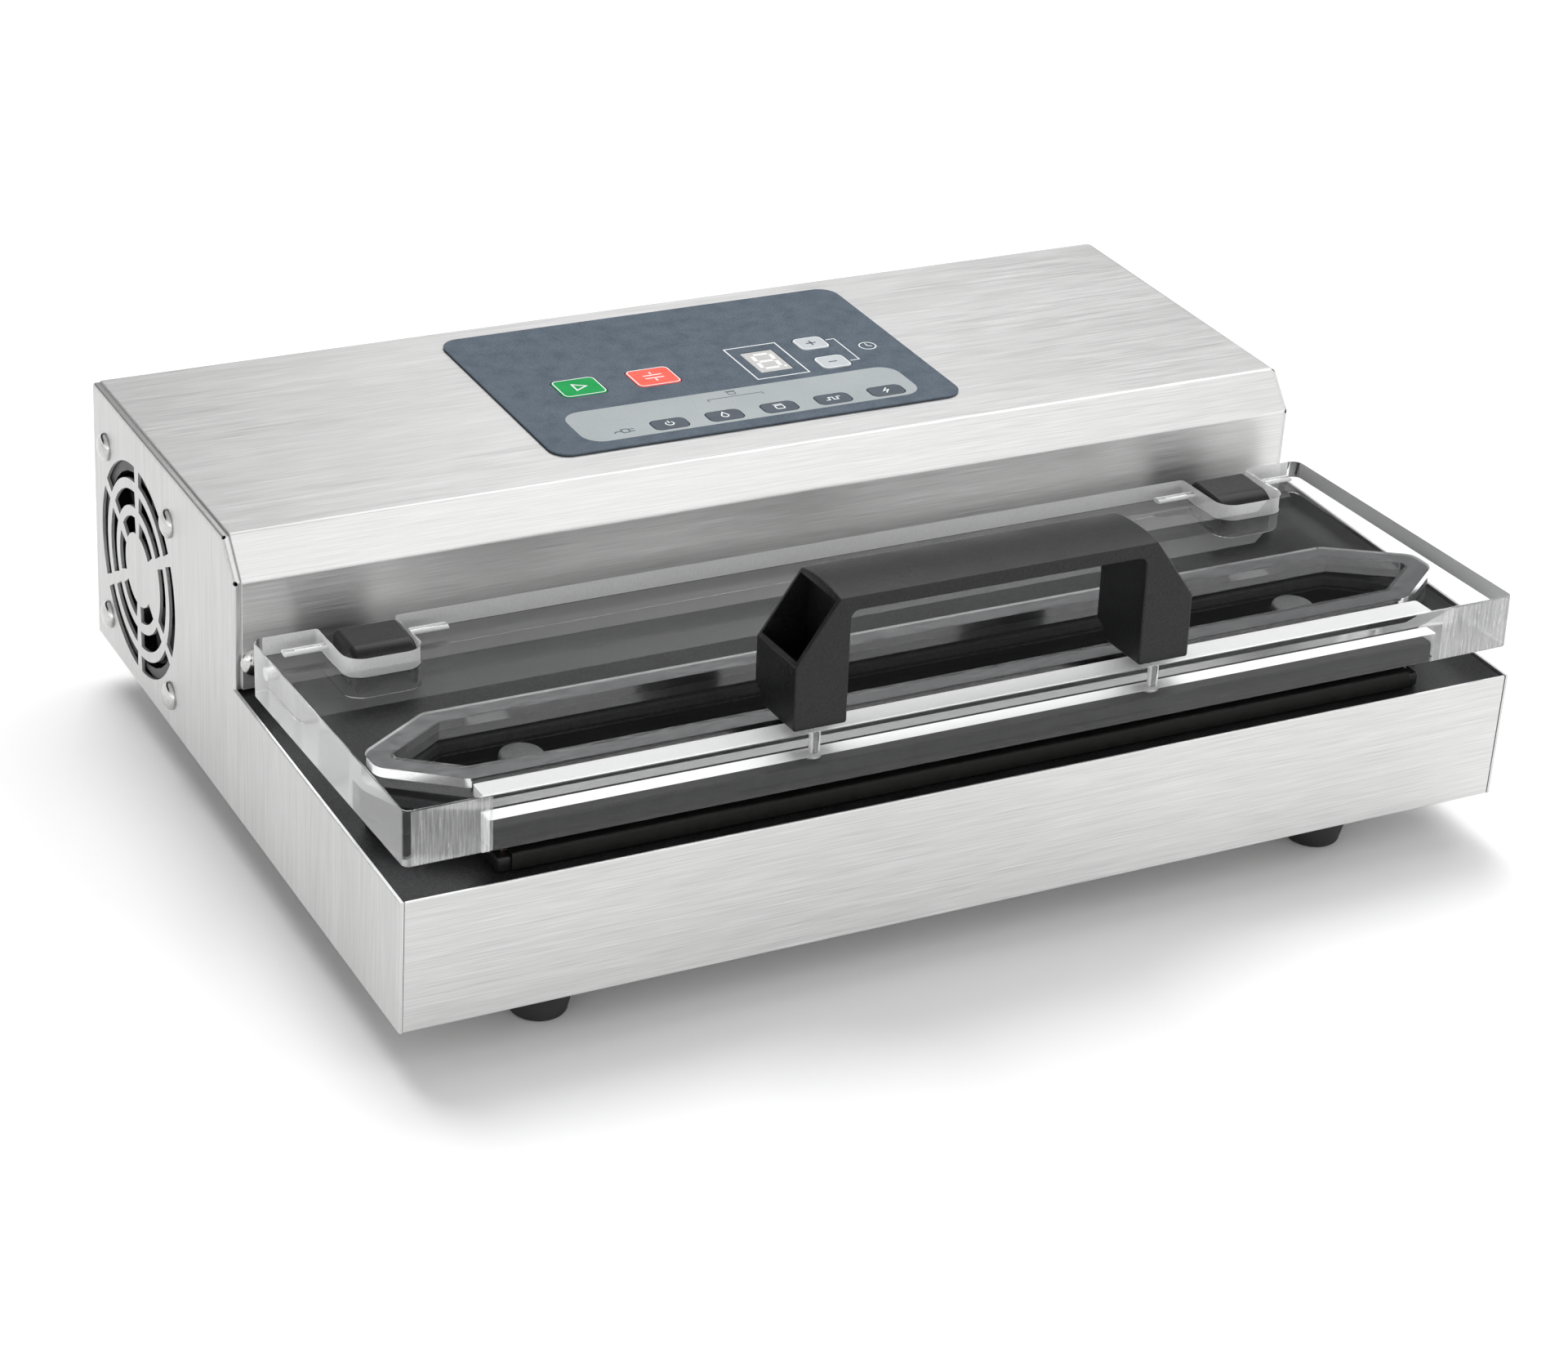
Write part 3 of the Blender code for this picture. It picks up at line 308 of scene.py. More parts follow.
def applied(obj, tools=()):
    """The mesh that an object's modifiers leave. The object and its tools are removed."""
    graph = bpy.context.evaluated_depsgraph_get()
    made = bpy.data.meshes.new_from_object(obj.evaluated_get(graph))
    for thing in (obj, *tools):
        bpy.data.objects.remove(thing)
    return made


def worked(mesh, *steps):
    """The mesh after Booleans ("cut" or "join", tool mesh) and bevels ("bevel", width, segments)."""
    obj = add_object("work", mesh)
    tools = []
    for step in steps:
        if step[0] == "bevel":
            bevel = obj.modifiers.new("bevel", "BEVEL")
            bevel.width, bevel.segments = step[1], step[2]
            bevel.limit_method = "ANGLE"
            bevel.angle_limit = math.radians(40)
            continue
        tools.append(add_object("tool", step[1]))
        change = obj.modifiers.new(step[0], "BOOLEAN")
        change.operation = "DIFFERENCE" if step[0] == "cut" else "UNION"
        change.solver = "EXACT"
        change.object = tools[-1]
    return applied(obj, tools)


def cut(mesh, tools):
    return worked(mesh, *[("cut", tool) for tool in tools])


# ---- material tools


def shader_of(name, colour, roughness, metallic=0.0):
    made = bpy.data.materials.new(name)
    made.use_nodes = True
    shader = made.node_tree.nodes["Principled BSDF"]
    shader.inputs["Base Color"].default_value = (*colour, 1)
    shader.inputs["Roughness"].default_value = roughness
    shader.inputs["Metallic"].default_value = metallic
    return made, made.node_tree, shader


def noise(tree, scale, detail=2.0):
    """A noise over the object's own metres. The scale is one number, or one along each axis."""
    coordinates = tree.nodes.new("ShaderNodeTexCoord")
    mapping = tree.nodes.new("ShaderNodeMapping")
    mapping.inputs["Scale"].default_value = scale if isinstance(scale, tuple) else (scale,) * 3
    tree.links.new(coordinates.outputs["Object"], mapping.inputs["Vector"])
    texture = tree.nodes.new("ShaderNodeTexNoise")
    texture.inputs["Scale"].default_value = 1.0
    texture.inputs["Detail"].default_value = detail
    tree.links.new(mapping.outputs["Vector"], texture.inputs["Vector"])
    return texture.outputs["Fac"]


def spread(tree, value, low, high, start=0.3, end=0.7):
    node = tree.nodes.new("ShaderNodeMapRange")
    for socket, number in zip(("From Min", "From Max", "To Min", "To Max"), (start, end, low, high)):
        node.inputs[socket].default_value = number
    tree.links.new(value, node.inputs["Value"])
    return node.outputs["Result"]


def total(tree, first, second, kind="ADD"):
    node = tree.nodes.new("ShaderNodeMath")
    node.operation = kind
    for socket, value in zip(node.inputs, (first, second)):
        if isinstance(value, (int, float)):
            socket.default_value = value
        else:
            tree.links.new(value, socket)
    return node.outputs["Value"]


def weighted(tree, *parts):
    """The sum of some values, each times its share."""
    terms = [total(tree, value, share, "MULTIPLY") for value, share in parts]
    result = terms[0]
    for term in terms[1:]:
        result = total(tree, result, term)
    return result


def tinted(tree, factor, dark, light):
    node = tree.nodes.new("ShaderNodeMix")
    node.data_type = "RGBA"
    node.inputs[6].default_value = (*dark, 1)
    node.inputs[7].default_value = (*light, 1)
    tree.links.new(factor, node.inputs["Factor"])
    return node.outputs[2]


def bumped(tree, shader, height, distance, strength=1.0):
    node = tree.nodes.new("ShaderNodeBump")
    node.inputs["Distance"].default_value = distance
    node.inputs["Strength"].default_value = strength
    tree.links.new(height, node.inputs["Height"])
    tree.links.new(node.outputs["Normal"], shader.inputs["Normal"])


def surface(name, dark, light, rough, fine, coarse, bump, share=0.5, specular=0.5, metallic=0.0):
    """A material whose colour, roughness and bump all come from a fine and a coarse noise.

    rough is (lowest, highest), fine and coarse are the noises' scales per metre, bump is in metres, and
    share is the fine noise's part in the colour.
    """
    made, tree, shader = shader_of(name, light, rough[0], metallic)
    grain = noise(tree, fine, 3)
    patches = noise(tree, coarse, 4)
    mix = weighted(tree, (grain, share), (patches, 1 - share))
    tone = tinted(tree, spread(tree, mix, 0, 1, 0.36, 0.64), dark, light)
    tree.links.new(tone, shader.inputs["Base Color"])
    smudge = weighted(tree, (grain, 0.4), (patches, 0.6))
    tree.links.new(spread(tree, smudge, *rough, 0.34, 0.66), shader.inputs["Roughness"])
    bumped(tree, shader, grain, bump)
    shader.inputs["Specular IOR Level"].default_value = specular
    return made


STEEL_DARK, STEEL_LIGHT = (0.51, 0.51, 0.507), (0.71, 0.71, 0.707)


def brushed(name, axis):
    """Steel with its grain along X or Z. The reflection spreads across the grain."""
    turn = 1 if axis == "X" else -1
    made, tree, shader = shader_of(name, STEEL_LIGHT, 0.4, 1.0)
    hair = noise(tree, (45, 4200, 4200)[::turn], 2)
    line = noise(tree, (8, 1500, 1500)[::turn], 3)
    cloud = noise(tree, (4, 22, 22)[::turn], 3)
    mix = weighted(tree, (hair, 0.60), (line, 0.30), (cloud, 0.10))
    tone = tinted(tree, spread(tree, mix, 0, 1, 0.34, 0.66), STEEL_DARK, STEEL_LIGHT)
    tree.links.new(tone, shader.inputs["Base Color"])
    tree.links.new(spread(tree, mix, 0.36, 0.48, 0.36, 0.64), shader.inputs["Roughness"])
    bumped(tree, shader, total(tree, hair, total(tree, line, 0.4, "MULTIPLY")), 18e-6)
    shader.inputs["Anisotropic"].default_value = 0.6
    tangent = tree.nodes.new("ShaderNodeTangent")
    tangent.direction_type = "RADIAL"
    tangent.axis = axis
    tree.links.new(tangent.outputs["Tangent"], shader.inputs["Tangent"])
    return made


def acrylic(name, colour, roughness, marks, bump=0.0, transmission=1.0, depth=1.0):
    """Clear plastic with worked marks. Lamps reach what is behind it.

    marks is the scale of the marks per metre, and depth is how dark the marks of a hazy one get.
    """
    made, tree, shader = shader_of(name, colour, roughness)
    shader.inputs["Transmission Weight"].default_value = transmission
    shader.inputs["IOR"].default_value = 1.49
    shader.inputs["Specular Tint"].default_value = (0.3, 0.3, 0.3, 1)
    worked_marks = noise(tree, marks, 3)
    tree.links.new(spread(tree, worked_marks, roughness * 0.6, roughness * 1.4), shader.inputs["Roughness"])
    if transmission < 1:
        darkest = [depth * c for c in colour]
        tone = tinted(tree, spread(tree, worked_marks, 0, 1, 0.38, 0.58), darkest, colour)
        tree.links.new(tone, shader.inputs["Base Color"])
    if bump:
        bumped(tree, shader, worked_marks, bump)
    path = tree.nodes.new("ShaderNodeLightPath")
    clear = tree.nodes.new("ShaderNodeBsdfTransparent")
    clear.inputs["Color"].default_value = (*[0.93 * c for c in colour], 1)
    mix = tree.nodes.new("ShaderNodeMixShader")
    passes = total(tree, path.outputs["Is Shadow Ray"], path.outputs["Is Diffuse Ray"], "MAXIMUM")
    tree.links.new(passes, mix.inputs[0])
    tree.links.new(shader.outputs["BSDF"], mix.inputs[1])
    tree.links.new(clear.outputs["BSDF"], mix.inputs[2])
    tree.links.new(mix.outputs["Shader"], tree.nodes["Material Output"].inputs["Surface"])
    return made


def grey(level):
    return (level,) * 3


STEEL_X = brushed("brushed_steel_along", "X")
STEEL_Z = brushed("brushed_steel_upright", "Z")
POLISHED = surface("polished_screw", (0.46, 0.46, 0.455), (0.64, 0.64, 0.635), (0.06, 0.14), 1400, 160,
                   6e-6, metallic=1.0)
DECK = surface("deck_moulded", grey(0.001), (0.026, 0.026, 0.0275), (0.28, 0.38), 1500, 45, 50e-6,
               share=0.85, specular=0.2)
DECK_GLOSS = surface("channel_gloss", grey(0.001), (0.003, 0.003, 0.0035), (0.16, 0.26), 900, 50, 8e-6,
                     specular=0.12)
SATIN = surface("satin_black", (0.004, 0.004, 0.0045), (0.012, 0.012, 0.0125), (0.24, 0.34), 2600, 80,
                20e-6, share=0.6, specular=0.22)
HANDLE = surface("handle_moulded", (0.0004, 0.0004, 0.0005), (0.009, 0.009, 0.0095), (0.34, 0.46), 1300,
                 60, 140e-6, share=0.85, specular=0.33)
RUBBER = surface("foot_rubber", grey(0.008), grey(0.022), (0.55, 0.75), 1500, 90, 40e-6)
SILICONE = surface("strip_silicone", grey(0.010), grey(0.026), (0.42, 0.55), 2600, 120, 6e-6, share=0.6,
                   specular=0.2)
FOAM = surface("ring_foam", (0.018, 0.018, 0.020), (0.060, 0.060, 0.064), (0.70, 0.90), 2600, 260, 120e-6,
               share=0.7)
TAPE = surface("woven_tape", (0.003, 0.0028, 0.0026), (0.008, 0.0075, 0.007), (0.40, 0.55), 1600, 200,
               40e-6, specular=0.15)
CLIP = surface("clip_moulded", grey(0.03), grey(0.13), (0.50, 0.65), 2400, 300, 60e-6, share=0.8)
OVERLAY = surface("overlay_film", (0.058, 0.077, 0.101), (0.112, 0.141, 0.174), (0.32, 0.44), 1700, 140,
                  10e-6, share=0.7, specular=0.2)
BAND_GREY = surface("overlay_band", (0.32, 0.35, 0.36), (0.40, 0.43, 0.44), (0.34, 0.46), 2600, 40, 10e-6,
                    share=0.75, specular=0.2)
WHITE_INK = surface("white_ink", (0.70, 0.73, 0.74), (0.82, 0.84, 0.85), (0.35, 0.45), 2600, 200, 4e-6)
DARK_INK = surface("dark_ink", (0.06, 0.07, 0.085), (0.10, 0.115, 0.13), (0.35, 0.45), 2600, 200, 4e-6)


def key_film(name, dark, light, rough=(0.28, 0.40)):
    return surface(name, dark, light, rough, 2600, 120, 12e-6, share=0.7, specular=0.25)


GREEN = key_film("green_key_film", (0.0, 0.26, 0.055), (0.010, 0.34, 0.085))
RED = key_film("red_key_film", (0.86, 0.105, 0.075), (0.95, 0.150, 0.110))
GREY_KEY = key_film("grey_key_film", (0.44, 0.47, 0.49), (0.54, 0.57, 0.59), (0.30, 0.42))
DARK_KEY = key_film("dark_key_film", (0.068, 0.083, 0.102), (0.098, 0.116, 0.140))
WINDOW = surface("display_film", (0.52, 0.52, 0.51), (0.60, 0.60, 0.59), (0.12, 0.22), 2600, 200, 4e-6,
                 share=0.7)
SEGMENT = surface("display_segment", grey(0.86), grey(0.93), (0.2, 0.3), 1800, 300, 4e-6)
BOARD = surface("circuit_board", (0.006, 0.08, 0.03), (0.02, 0.16, 0.06), (0.3, 0.5), 1500, 120, 20e-6)
COPPER = surface("heating_alloy", (0.45, 0.36, 0.30), (0.62, 0.52, 0.44), (0.25, 0.4), (60, 2400, 2400),
                 90, 10e-6, metallic=1.0)
CAST = surface("cast_aluminium", grey(0.34), grey(0.52), (0.42, 0.6), 1300, 90, 80e-6, metallic=1.0)
HOSE = surface("silicone_hose", (0.56, 0.56, 0.54), (0.72, 0.72, 0.70), (0.4, 0.6), 900, 90, 30e-6)
BRASS = surface("plated_pin", (0.60, 0.58, 0.52), (0.75, 0.73, 0.68), (0.16, 0.28), 1600, 300, 8e-6,
                metallic=1.0)
CLEAR = acrylic("clear_acrylic", (0.985, 0.99, 0.99), 0.008, 60)
MILLED = acrylic("milled_acrylic", (0.93, 0.935, 0.935), 0.13, (160, 1300, 1300), 8e-6)
# The groove's walls: the milled finish in a darker tint, which is painted shade inside the ring's groove.
GROOVE_PAINTED_SHADE = acrylic("groove_acrylic_painted_shade", (0.58, 0.585, 0.585), 0.13, (160, 1300, 1300), 8e-6)
FROSTED = acrylic("frosted_acrylic", grey(0.99), 0.50, (1500, 1500, 300), 30e-6, 0.30, 0.93)
SAWN = acrylic("sawn_acrylic", (0.97, 0.975, 0.975), 0.20, (1500, 1500, 22), 60e-6, 0.74, 0.66)
HAZY = acrylic("hazy_acrylic", (0.98, 0.985, 0.985), 0.10, (1500, 1500, 60), 30e-6, 0.78, 0.90)


# ---- placing pieces


def piece(name, mesh, material, replaces=None, body="housing"):
    """Makes the object, rides it on its body and hides the CAD node that it stands for.

    A piece of the lid is drawn in the closed lid's own axes, from the hinge.
    """
    if body == "lid":
        mesh.transform(LID)
    if material and not mesh.materials:
        mesh.materials.append(material)
    for face in mesh.polygons:
        face.use_smooth = True
    mesh.set_sharp_from_angle(angle=math.radians(46))
    obj = add_object(name, mesh)
    obj.modifiers.new("shading", "WEIGHTED_NORMAL").keep_sharp = True
    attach(obj, body)
    if replaces:
        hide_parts(replaces)
    return obj


def painted(mesh, materials, rule):
    """Gives each face the material that a rule picks from its centre and normal."""
    mesh.materials.clear()
    for material in materials:
        mesh.materials.append(material)
    for face in mesh.polygons:
        face.material_index = materials.index(rule(face.center, face.normal))
    return mesh


# ---- steel housing


def lowered_profile(drop):
    """The cheek's outline in Y and Z, with its top, bevel and wall edges moved inwards."""
    lean = math.hypot(BEVEL_Y, TOP_Z - WALL_Z)
    slope = (TOP_Z - WALL_Z) / BEVEL_Y
    top_y = BEVEL_Y + drop * (lean / BEVEL_Y - 1) / slope
    wall_z = WALL_Z - drop * (lean / BEVEL_Y - slope)
    return [(top_y, TOP_Z - drop), (drop, wall_z)]


def vent_slots():
    """The fan's openings: three rings of arcs between six spokes. One inner arc stays closed."""
    half_spoke, steps = 0.0022, 14
    slots = []
    for sector in range(6):
        for number, (inner, outer) in enumerate([(0.0145, 0.021), (0.025, 0.0315), (0.0355, 0.042)]):
            if sector == 4 and number == 0:
                continue
            margin = half_spoke / ((inner + outer) / 2)
            start = math.radians(60 * sector) + margin
            end = math.radians(60 * sector + 60) - margin
            turns = [start + (end - start) * k / steps for k in range(steps + 1)]
            ends = [(outer, a) for a in turns] + [(inner, a) for a in reversed(turns)]
            slots.append([(FAN_Y + r * math.sin(a), FAN_Z + r * math.cos(a)) for r, a in ends])
    return slots


def cheek(side):
    """A side cheek whose upper edges fold inwards round a small radius, under the cover."""
    (top_y, top_z), (wall_y, wall_z) = lowered_profile(SHEET)
    outline = [
        (FRONT_Y, FLOOR_Z), (REAR_Y, FLOOR_Z), (REAR_Y, top_z), (top_y, top_z),
        (wall_y, wall_z), (wall_y, RIM_Z), (FRONT_Y, RIM_Z),
    ]
    flange, small_edge, relief = 0.0090, 0.12, 0.0008
    low, high = sorted((side * HALF, side * (HALF - flange)))
    mesh = to_side(plate(outline, low, high))
    bm = bmesh.new()
    bm.from_mesh(mesh)
    weight = bm.edges.layers.float.new("bevel_weight_edge")
    for edge in bm.edges:
        ends = [v.co for v in edge.verts]
        middle = (ends[0] + ends[1]) / 2
        outside = all(abs(abs(p.x) - HALF) < 1e-6 for p in ends)
        folded = wall_y - 1e-6 < middle.y < REAR_Y - 0.001 and middle.z > RIM_Z + 0.001
        edge[weight] = (1.0 if folded else small_edge) if outside else 0.0
    bm.to_mesh(mesh)
    bm.free()
    obj = add_object("work", mesh)
    bevel = obj.modifiers.new("fold", "BEVEL")
    bevel.limit_method = "WEIGHT"
    bevel.width, bevel.segments = FOLD, 5
    mesh = applied(obj)
    (in_y, in_z), (deep_y, deep_z) = lowered_profile(2 * SHEET)
    before, behind = FRONT_Y - 0.01, REAR_Y + 0.01
    pocket = [
        (before, FLOOR_Z - 0.01), (behind, FLOOR_Z - 0.01), (behind, in_z), (in_y, in_z),
        (deep_y, deep_z), (deep_y, RIM_Z), (before, RIM_Z + 0.001),
    ]
    low, high = sorted((side * (HALF - SHEET), side * (HALF - 0.02)))
    tools = [to_side(plate(pocket, low, high))]
    for y, z in ((top_y, top_z), (wall_y, wall_z)):
        start = (side * (HALF - 0.004), y + 0.003, z - 0.003)
        tools.append(rod(relief, start, (side * (HALF + 0.002), y - 0.0022, z + 0.0022), 16))
    if side < 0:
        tools.append(merged([to_side(plate(slot, -HALF - 0.005, -HALF + 0.005)) for slot in vent_slots()]))
    else:
        port = box_of("accessory_port")[2]
        tools.append(rod(0.0062, (HALF - 0.01, port.y, port.z), (HALF + 0.01, port.y, port.z)))
    return cut(mesh, tools)


def pan():
    """The lower housing: two cheeks, the floor and the front with its hemmed rim."""
    gap = 0.0002
    front = block((-INNER_X + gap, FRONT_Y, FLOOR_Z), (INNER_X - gap, FRONT_Y + SHEET, RIM_Z), 0.00045)
    floor = block((-INNER_X, FRONT_Y + SHEET, FLOOR_Z), (INNER_X, REAR_Y - 0.0005, FLOOR_Z + SHEET), 0.0002)
    cheeks = merged([cheek(-1), cheek(1)])
    sheets = {"cheeks": (cheeks, STEEL_Z), "front": (front, STEEL_X), "floor": (floor, STEEL_X)}
    for label, (mesh, steel) in sheets.items():
        piece("pan_" + label, mesh, steel, "chassis_pan")


def cover():
    """The bent sheet of the wall, the bevel and the top, with a short fold down at the rear."""
    outer = filleted([
        (0.0, RIM_Z + 0.0003, 0), (0.0, WALL_Z, 0.0022), (BEVEL_Y, TOP_Z, 0.0022),
        (REAR_Y, TOP_Z, 0.0018), (REAR_Y, TOP_Z - 0.012, 0),
    ], 5)
    top_fold, wall_fold = lowered_profile(SHEET)
    inner = filleted([
        (SHEET, RIM_Z + 0.0003, 0), (*wall_fold, 0.0010), (*top_fold, 0.0010),
        (REAR_Y - SHEET, TOP_Z - SHEET, 0.0006), (REAR_Y - SHEET, TOP_Z - 0.012, 0),
    ], 5)
    outline = outer + inner[::-1]
    mesh = to_side(soft_plate(outline[::-1], -COVER_HALF, COVER_HALF, 0.00025))
    margin = Vector((0.008, 0.008, 0))
    window = rounded(between(OVERLAY_LOW + margin, OVERLAY_HIGH - margin), 0.004, 3)
    tools = [plate(window, TOP_Z - 0.01, TOP_Z + 0.01)]
    for _, label in SIDES:
        x, _, z = box_of(f"wall_screw_{label}")[2]
        tools.append(rod(0.0024, (x, -0.01, z), (x, 0.01, z)))
    mesh = cut(mesh, [merged(tools)])
    piece("cover_sheet", mesh, STEEL_X, "housing_cover")


def dome_screws():
    """Smooth domed heads, each with a thin rim, in place of the CAD's coarse ones."""
    places = [(f"fan_screw_{n}", (-1, 0, 0)) for n in (1, 2, 3, 4)]
    places += [(f"wall_screw_{label}", (0, -1, 0)) for _, label in SIDES]
    radius, height, rim, shank, steps = 0.0055, 0.0030, 0.0004, 0.0019, 10
    dome = []
    for k in range(steps + 1):
        angle = math.pi / 2 * k / steps
        dome.append((radius * math.sin(angle), rim + (height - rim) * math.cos(angle)))
    profile = dome + [(radius, 0.0), (shank, 0.0), (shank, -0.005), (0.0, -0.005)]
    for name, along in places:
        low, high, centre = box_of(name)
        axis = Vector(along)
        base = Vector([centre[k] if not axis[k] else 0 for k in range(3)])
        base += axis * (max(low.dot(axis), high.dot(axis)) - height)
        head = turned(profile, base, along, 40)
        piece(name + "_head", head, POLISHED, name)


def feet():
    for number in (1, 2, 3, 4):
        centre = box_of(f"foot_{number}")[2]
        top = FLOOR_Z - 0.0003
        profile = [(0.0, top + 0.006), (0.0025, top + 0.006), (0.0025, top)]
        profile += [(0.0112, top)] + arc_profile(0.0008, 0.0112, top - 0.0008, 90, 0)
        profile += [(0.0118, 0.0080), (0.0105, 0.0022)]
        profile += arc_profile(0.0016, 0.0088, 0.0016, 0, -90)
        profile += [(0.0050, 0.0), (0.0045, 0.0012), (0.0, 0.0012)]
        mesh = turned(profile, (centre.x, centre.y, 0))
        piece(f"foot_{number}_rubber", mesh, RUBBER, f"foot_{number}")


def rear_fittings():
    """Screws on the rear panel, the inlet with its plated pins, and the accessory socket."""
    low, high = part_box("rear_panel")
    heads = []
    for x in (low.x + 0.008, 0.0, high.x - 0.008):
        for z in (low.z + 0.008, high.z - 0.010):
            profile = [(0.0, 0.0017), (0.0010, 0.0017)] + arc_profile(0.0012, 0.0018, 0.0004, 75, 0)
            heads.append(turned(profile + [(0.0030, 0.0), (0.0, 0.0)], (x, high.y, z), (0, 1, 0), 32))
    piece("rear_screws", merged(heads), POLISHED)
    low, high, (x, _, z) = box_of("power_inlet")
    face = high.y - 0.0020
    flange = soft_plate(rounded(rectangle(x, z, 0.0340, 0.0260), 0.003), -high.y, -face, 0.0005)
    body = plate(rectangle(x, z, 0.0272, 0.0200), -face - 0.0003, -low.y)
    cavity = filleted([
        (x - 0.0122, z - 0.0086, 0.002), (x + 0.0122, z - 0.0086, 0.002),
        (x + 0.0122, z + 0.0040, 0.001), (x + 0.0085, z + 0.0086, 0.001),
        (x - 0.0085, z + 0.0086, 0.001), (x - 0.0122, z + 0.0040, 0.001),
    ])
    shell = worked(to_front(flange), ("join", to_front(body)),
                   ("cut", to_front(plate(cavity, -high.y - 0.01, -low.y - 0.005))))
    piece("inlet_shell", shell, SATIN, "power_inlet")
    pins = []
    for across, up in ((x - 0.0070, z), (x, z + 0.0030), (x + 0.0070, z)):
        near = (across - 0.0010, low.y + 0.004, up - 0.0022)
        pins.append(block(near, (across + 0.0010, face - 0.004, up + 0.0022)))
    piece("inlet_pins", merged(pins), BRASS)
    _, y, z = box_of("accessory_port")[2]
    profile = [(0.0042, -0.018), (0.0042, 0.0022)] + arc_profile(0.0006, 0.0048, 0.0022, 180, 90, 3)
    profile += arc_profile(0.0010, 0.0090, 0.0020, 90, 0, 4) + [(0.0100, 0.0001), (0.0058, 0.0001)]
    profile += [(0.0058, -0.010), (0.0052, -0.0105), (0.0058, -0.0120), (0.0050, -0.018), (0.0042, -0.018)]
    port = turned(profile, (HALF, y, z), (1, 0, 0))
    piece("port_socket", port, SATIN, "accessory_port")


# ---- working deck


def ring_corners(shift_y, inset=0.0, round_outer=0.007, round_inner=0.0012):
    """The ring's six-sided outline with rounded corners, moved inwards by a distance."""
    back, front = shift_y - RING_BACK, shift_y - RING_FRONT
    right = [(0.189, front), (0.2145, back - 0.032), (0.2145, back - 0.020), (0.185, back)]
    corners = right + [(-x, y) for x, y in reversed(right)]
    if inset:
        return rounded(shrink(corners, inset), round_inner)
    return rounded(corners, round_outer)


def deck():
    """The moulded top with its channel, the tray in the channel, and what stands on the deck."""
    shift = HINGE_Y + LID_REAR
    top = soft_plate(rounded(between(DECK_LOW, DECK_HIGH), 0.0006, 2), DECK_Z - 0.003, DECK_Z, 0.0005)
    floor_z = DECK_Z - CHANNEL_DEPTH
    trough = plate(ring_corners(shift, RING_WIDTH - 0.002), floor_z - 0.0022, DECK_Z - 0.001)
    hollow = plate(ring_corners(shift, RING_WIDTH + 0.0005), floor_z, DECK_Z + 0.01)
    mesh = worked(top, ("join", trough), ("cut", hollow), ("bevel", 0.0004, 2))
    painted(mesh, [DECK, DECK_GLOSS], lambda centre, _: DECK_GLOSS if centre.z < DECK_Z - 0.0012 else DECK)
    piece("deck_moulding", mesh, None, "work_deck")
    tray = soft_plate(ring_corners(shift, RING_WIDTH + 0.0011), floor_z + 0.0003, DECK_Z - 0.0035, 0.0004)
    dish = ring_corners(shift, RING_WIDTH + 0.0021, round_inner=0.0005)
    dish = plate(dish, floor_z + 0.0017, DECK_Z + 0.01)
    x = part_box("valve_body")[0].x + 0.012
    wall_y = shift - RING_BACK - RING_WIDTH
    notch = plate(rectangle(x, wall_y, 0.012, 0.012), DECK_Z - 0.0135, DECK_Z)
    tray = worked(tray, ("cut", dish), ("cut", notch), ("bevel", 0.0003, 2))
    piece("tray_liner", tray, DECK_GLOSS, "drip_tray")
    for side, label in SIDES:
        hinge_block(side, label)
        bag_clip(label)


def foam_ring(shift, low, high, lid=False):
    """A foam ring with rounded edges, a little narrower than the lid's groove."""
    outline = ring_corners(shift)
    if lid:
        outline = shrink(without_repeats(outline), 0.0003)
    hole = plate(ring_corners(shift, RING_WIDTH - (0.0006 if lid else 0.0)), low - 0.01, high + 0.01)
    return worked(plate(outline, low, high), ("cut", hole), ("bevel", 0.0010, 3))


def gaskets():
    lower = foam_ring(HINGE_Y + LID_REAR, DECK_Z + 0.0002, DECK_Z + 0.0045)
    piece("deck_ring_foam", lower, FOAM, "lower_gasket")
    upper = foam_ring(LID_REAR, LID_UNDER - 0.0043, LID_UNDER + RING_GROOVE - 0.0003, True)
    piece("lid_ring_foam", upper, FOAM, "lid_gasket", "lid")


def seal_bar():
    low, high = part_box("seal_bar")
    piece("seal_bar_base", block(low, high, 0.0010), SATIN, "seal_bar")
    low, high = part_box("ptfe_cover")
    arches, bend, thickness = [], 0.0012, 0.0004
    for inset, past in ((0.0, 0.0), (thickness, 0.01)):
        near, far, top, bottom = low.y + inset, high.y - inset, high.z - inset, low.z - past
        corners = [(near, bottom, 0), (far, bottom, 0), (far, top, bend - inset), (near, top, bend - inset)]
        arches.append(to_side(plate(filleted(corners, 4), low.x - past, high.x + past)))
    piece("seal_tape", cut(arches[0], arches[1:]), TAPE, "ptfe_cover")


def bag_clip(label):
    """A round-headed clip on a short post."""
    low, high, (x, y, _) = box_of(f"bag_clip_{label}")
    profile = [(0.0, high.z), (0.0066, high.z)] + arc_profile(0.0012, 0.0068, high.z - 0.0012, 90, 0, 4)
    profile += [(0.0080, high.z - 0.0024), (0.0030, high.z - 0.0030), (0.0030, low.z + 0.0015)]
    profile += [(0.0045, low.z), (0.0, low.z)]
    mesh = turned(profile, (x, y, 0))
    piece(f"bag_clip_{label}_head", mesh, CLIP, f"bag_clip_{label}")


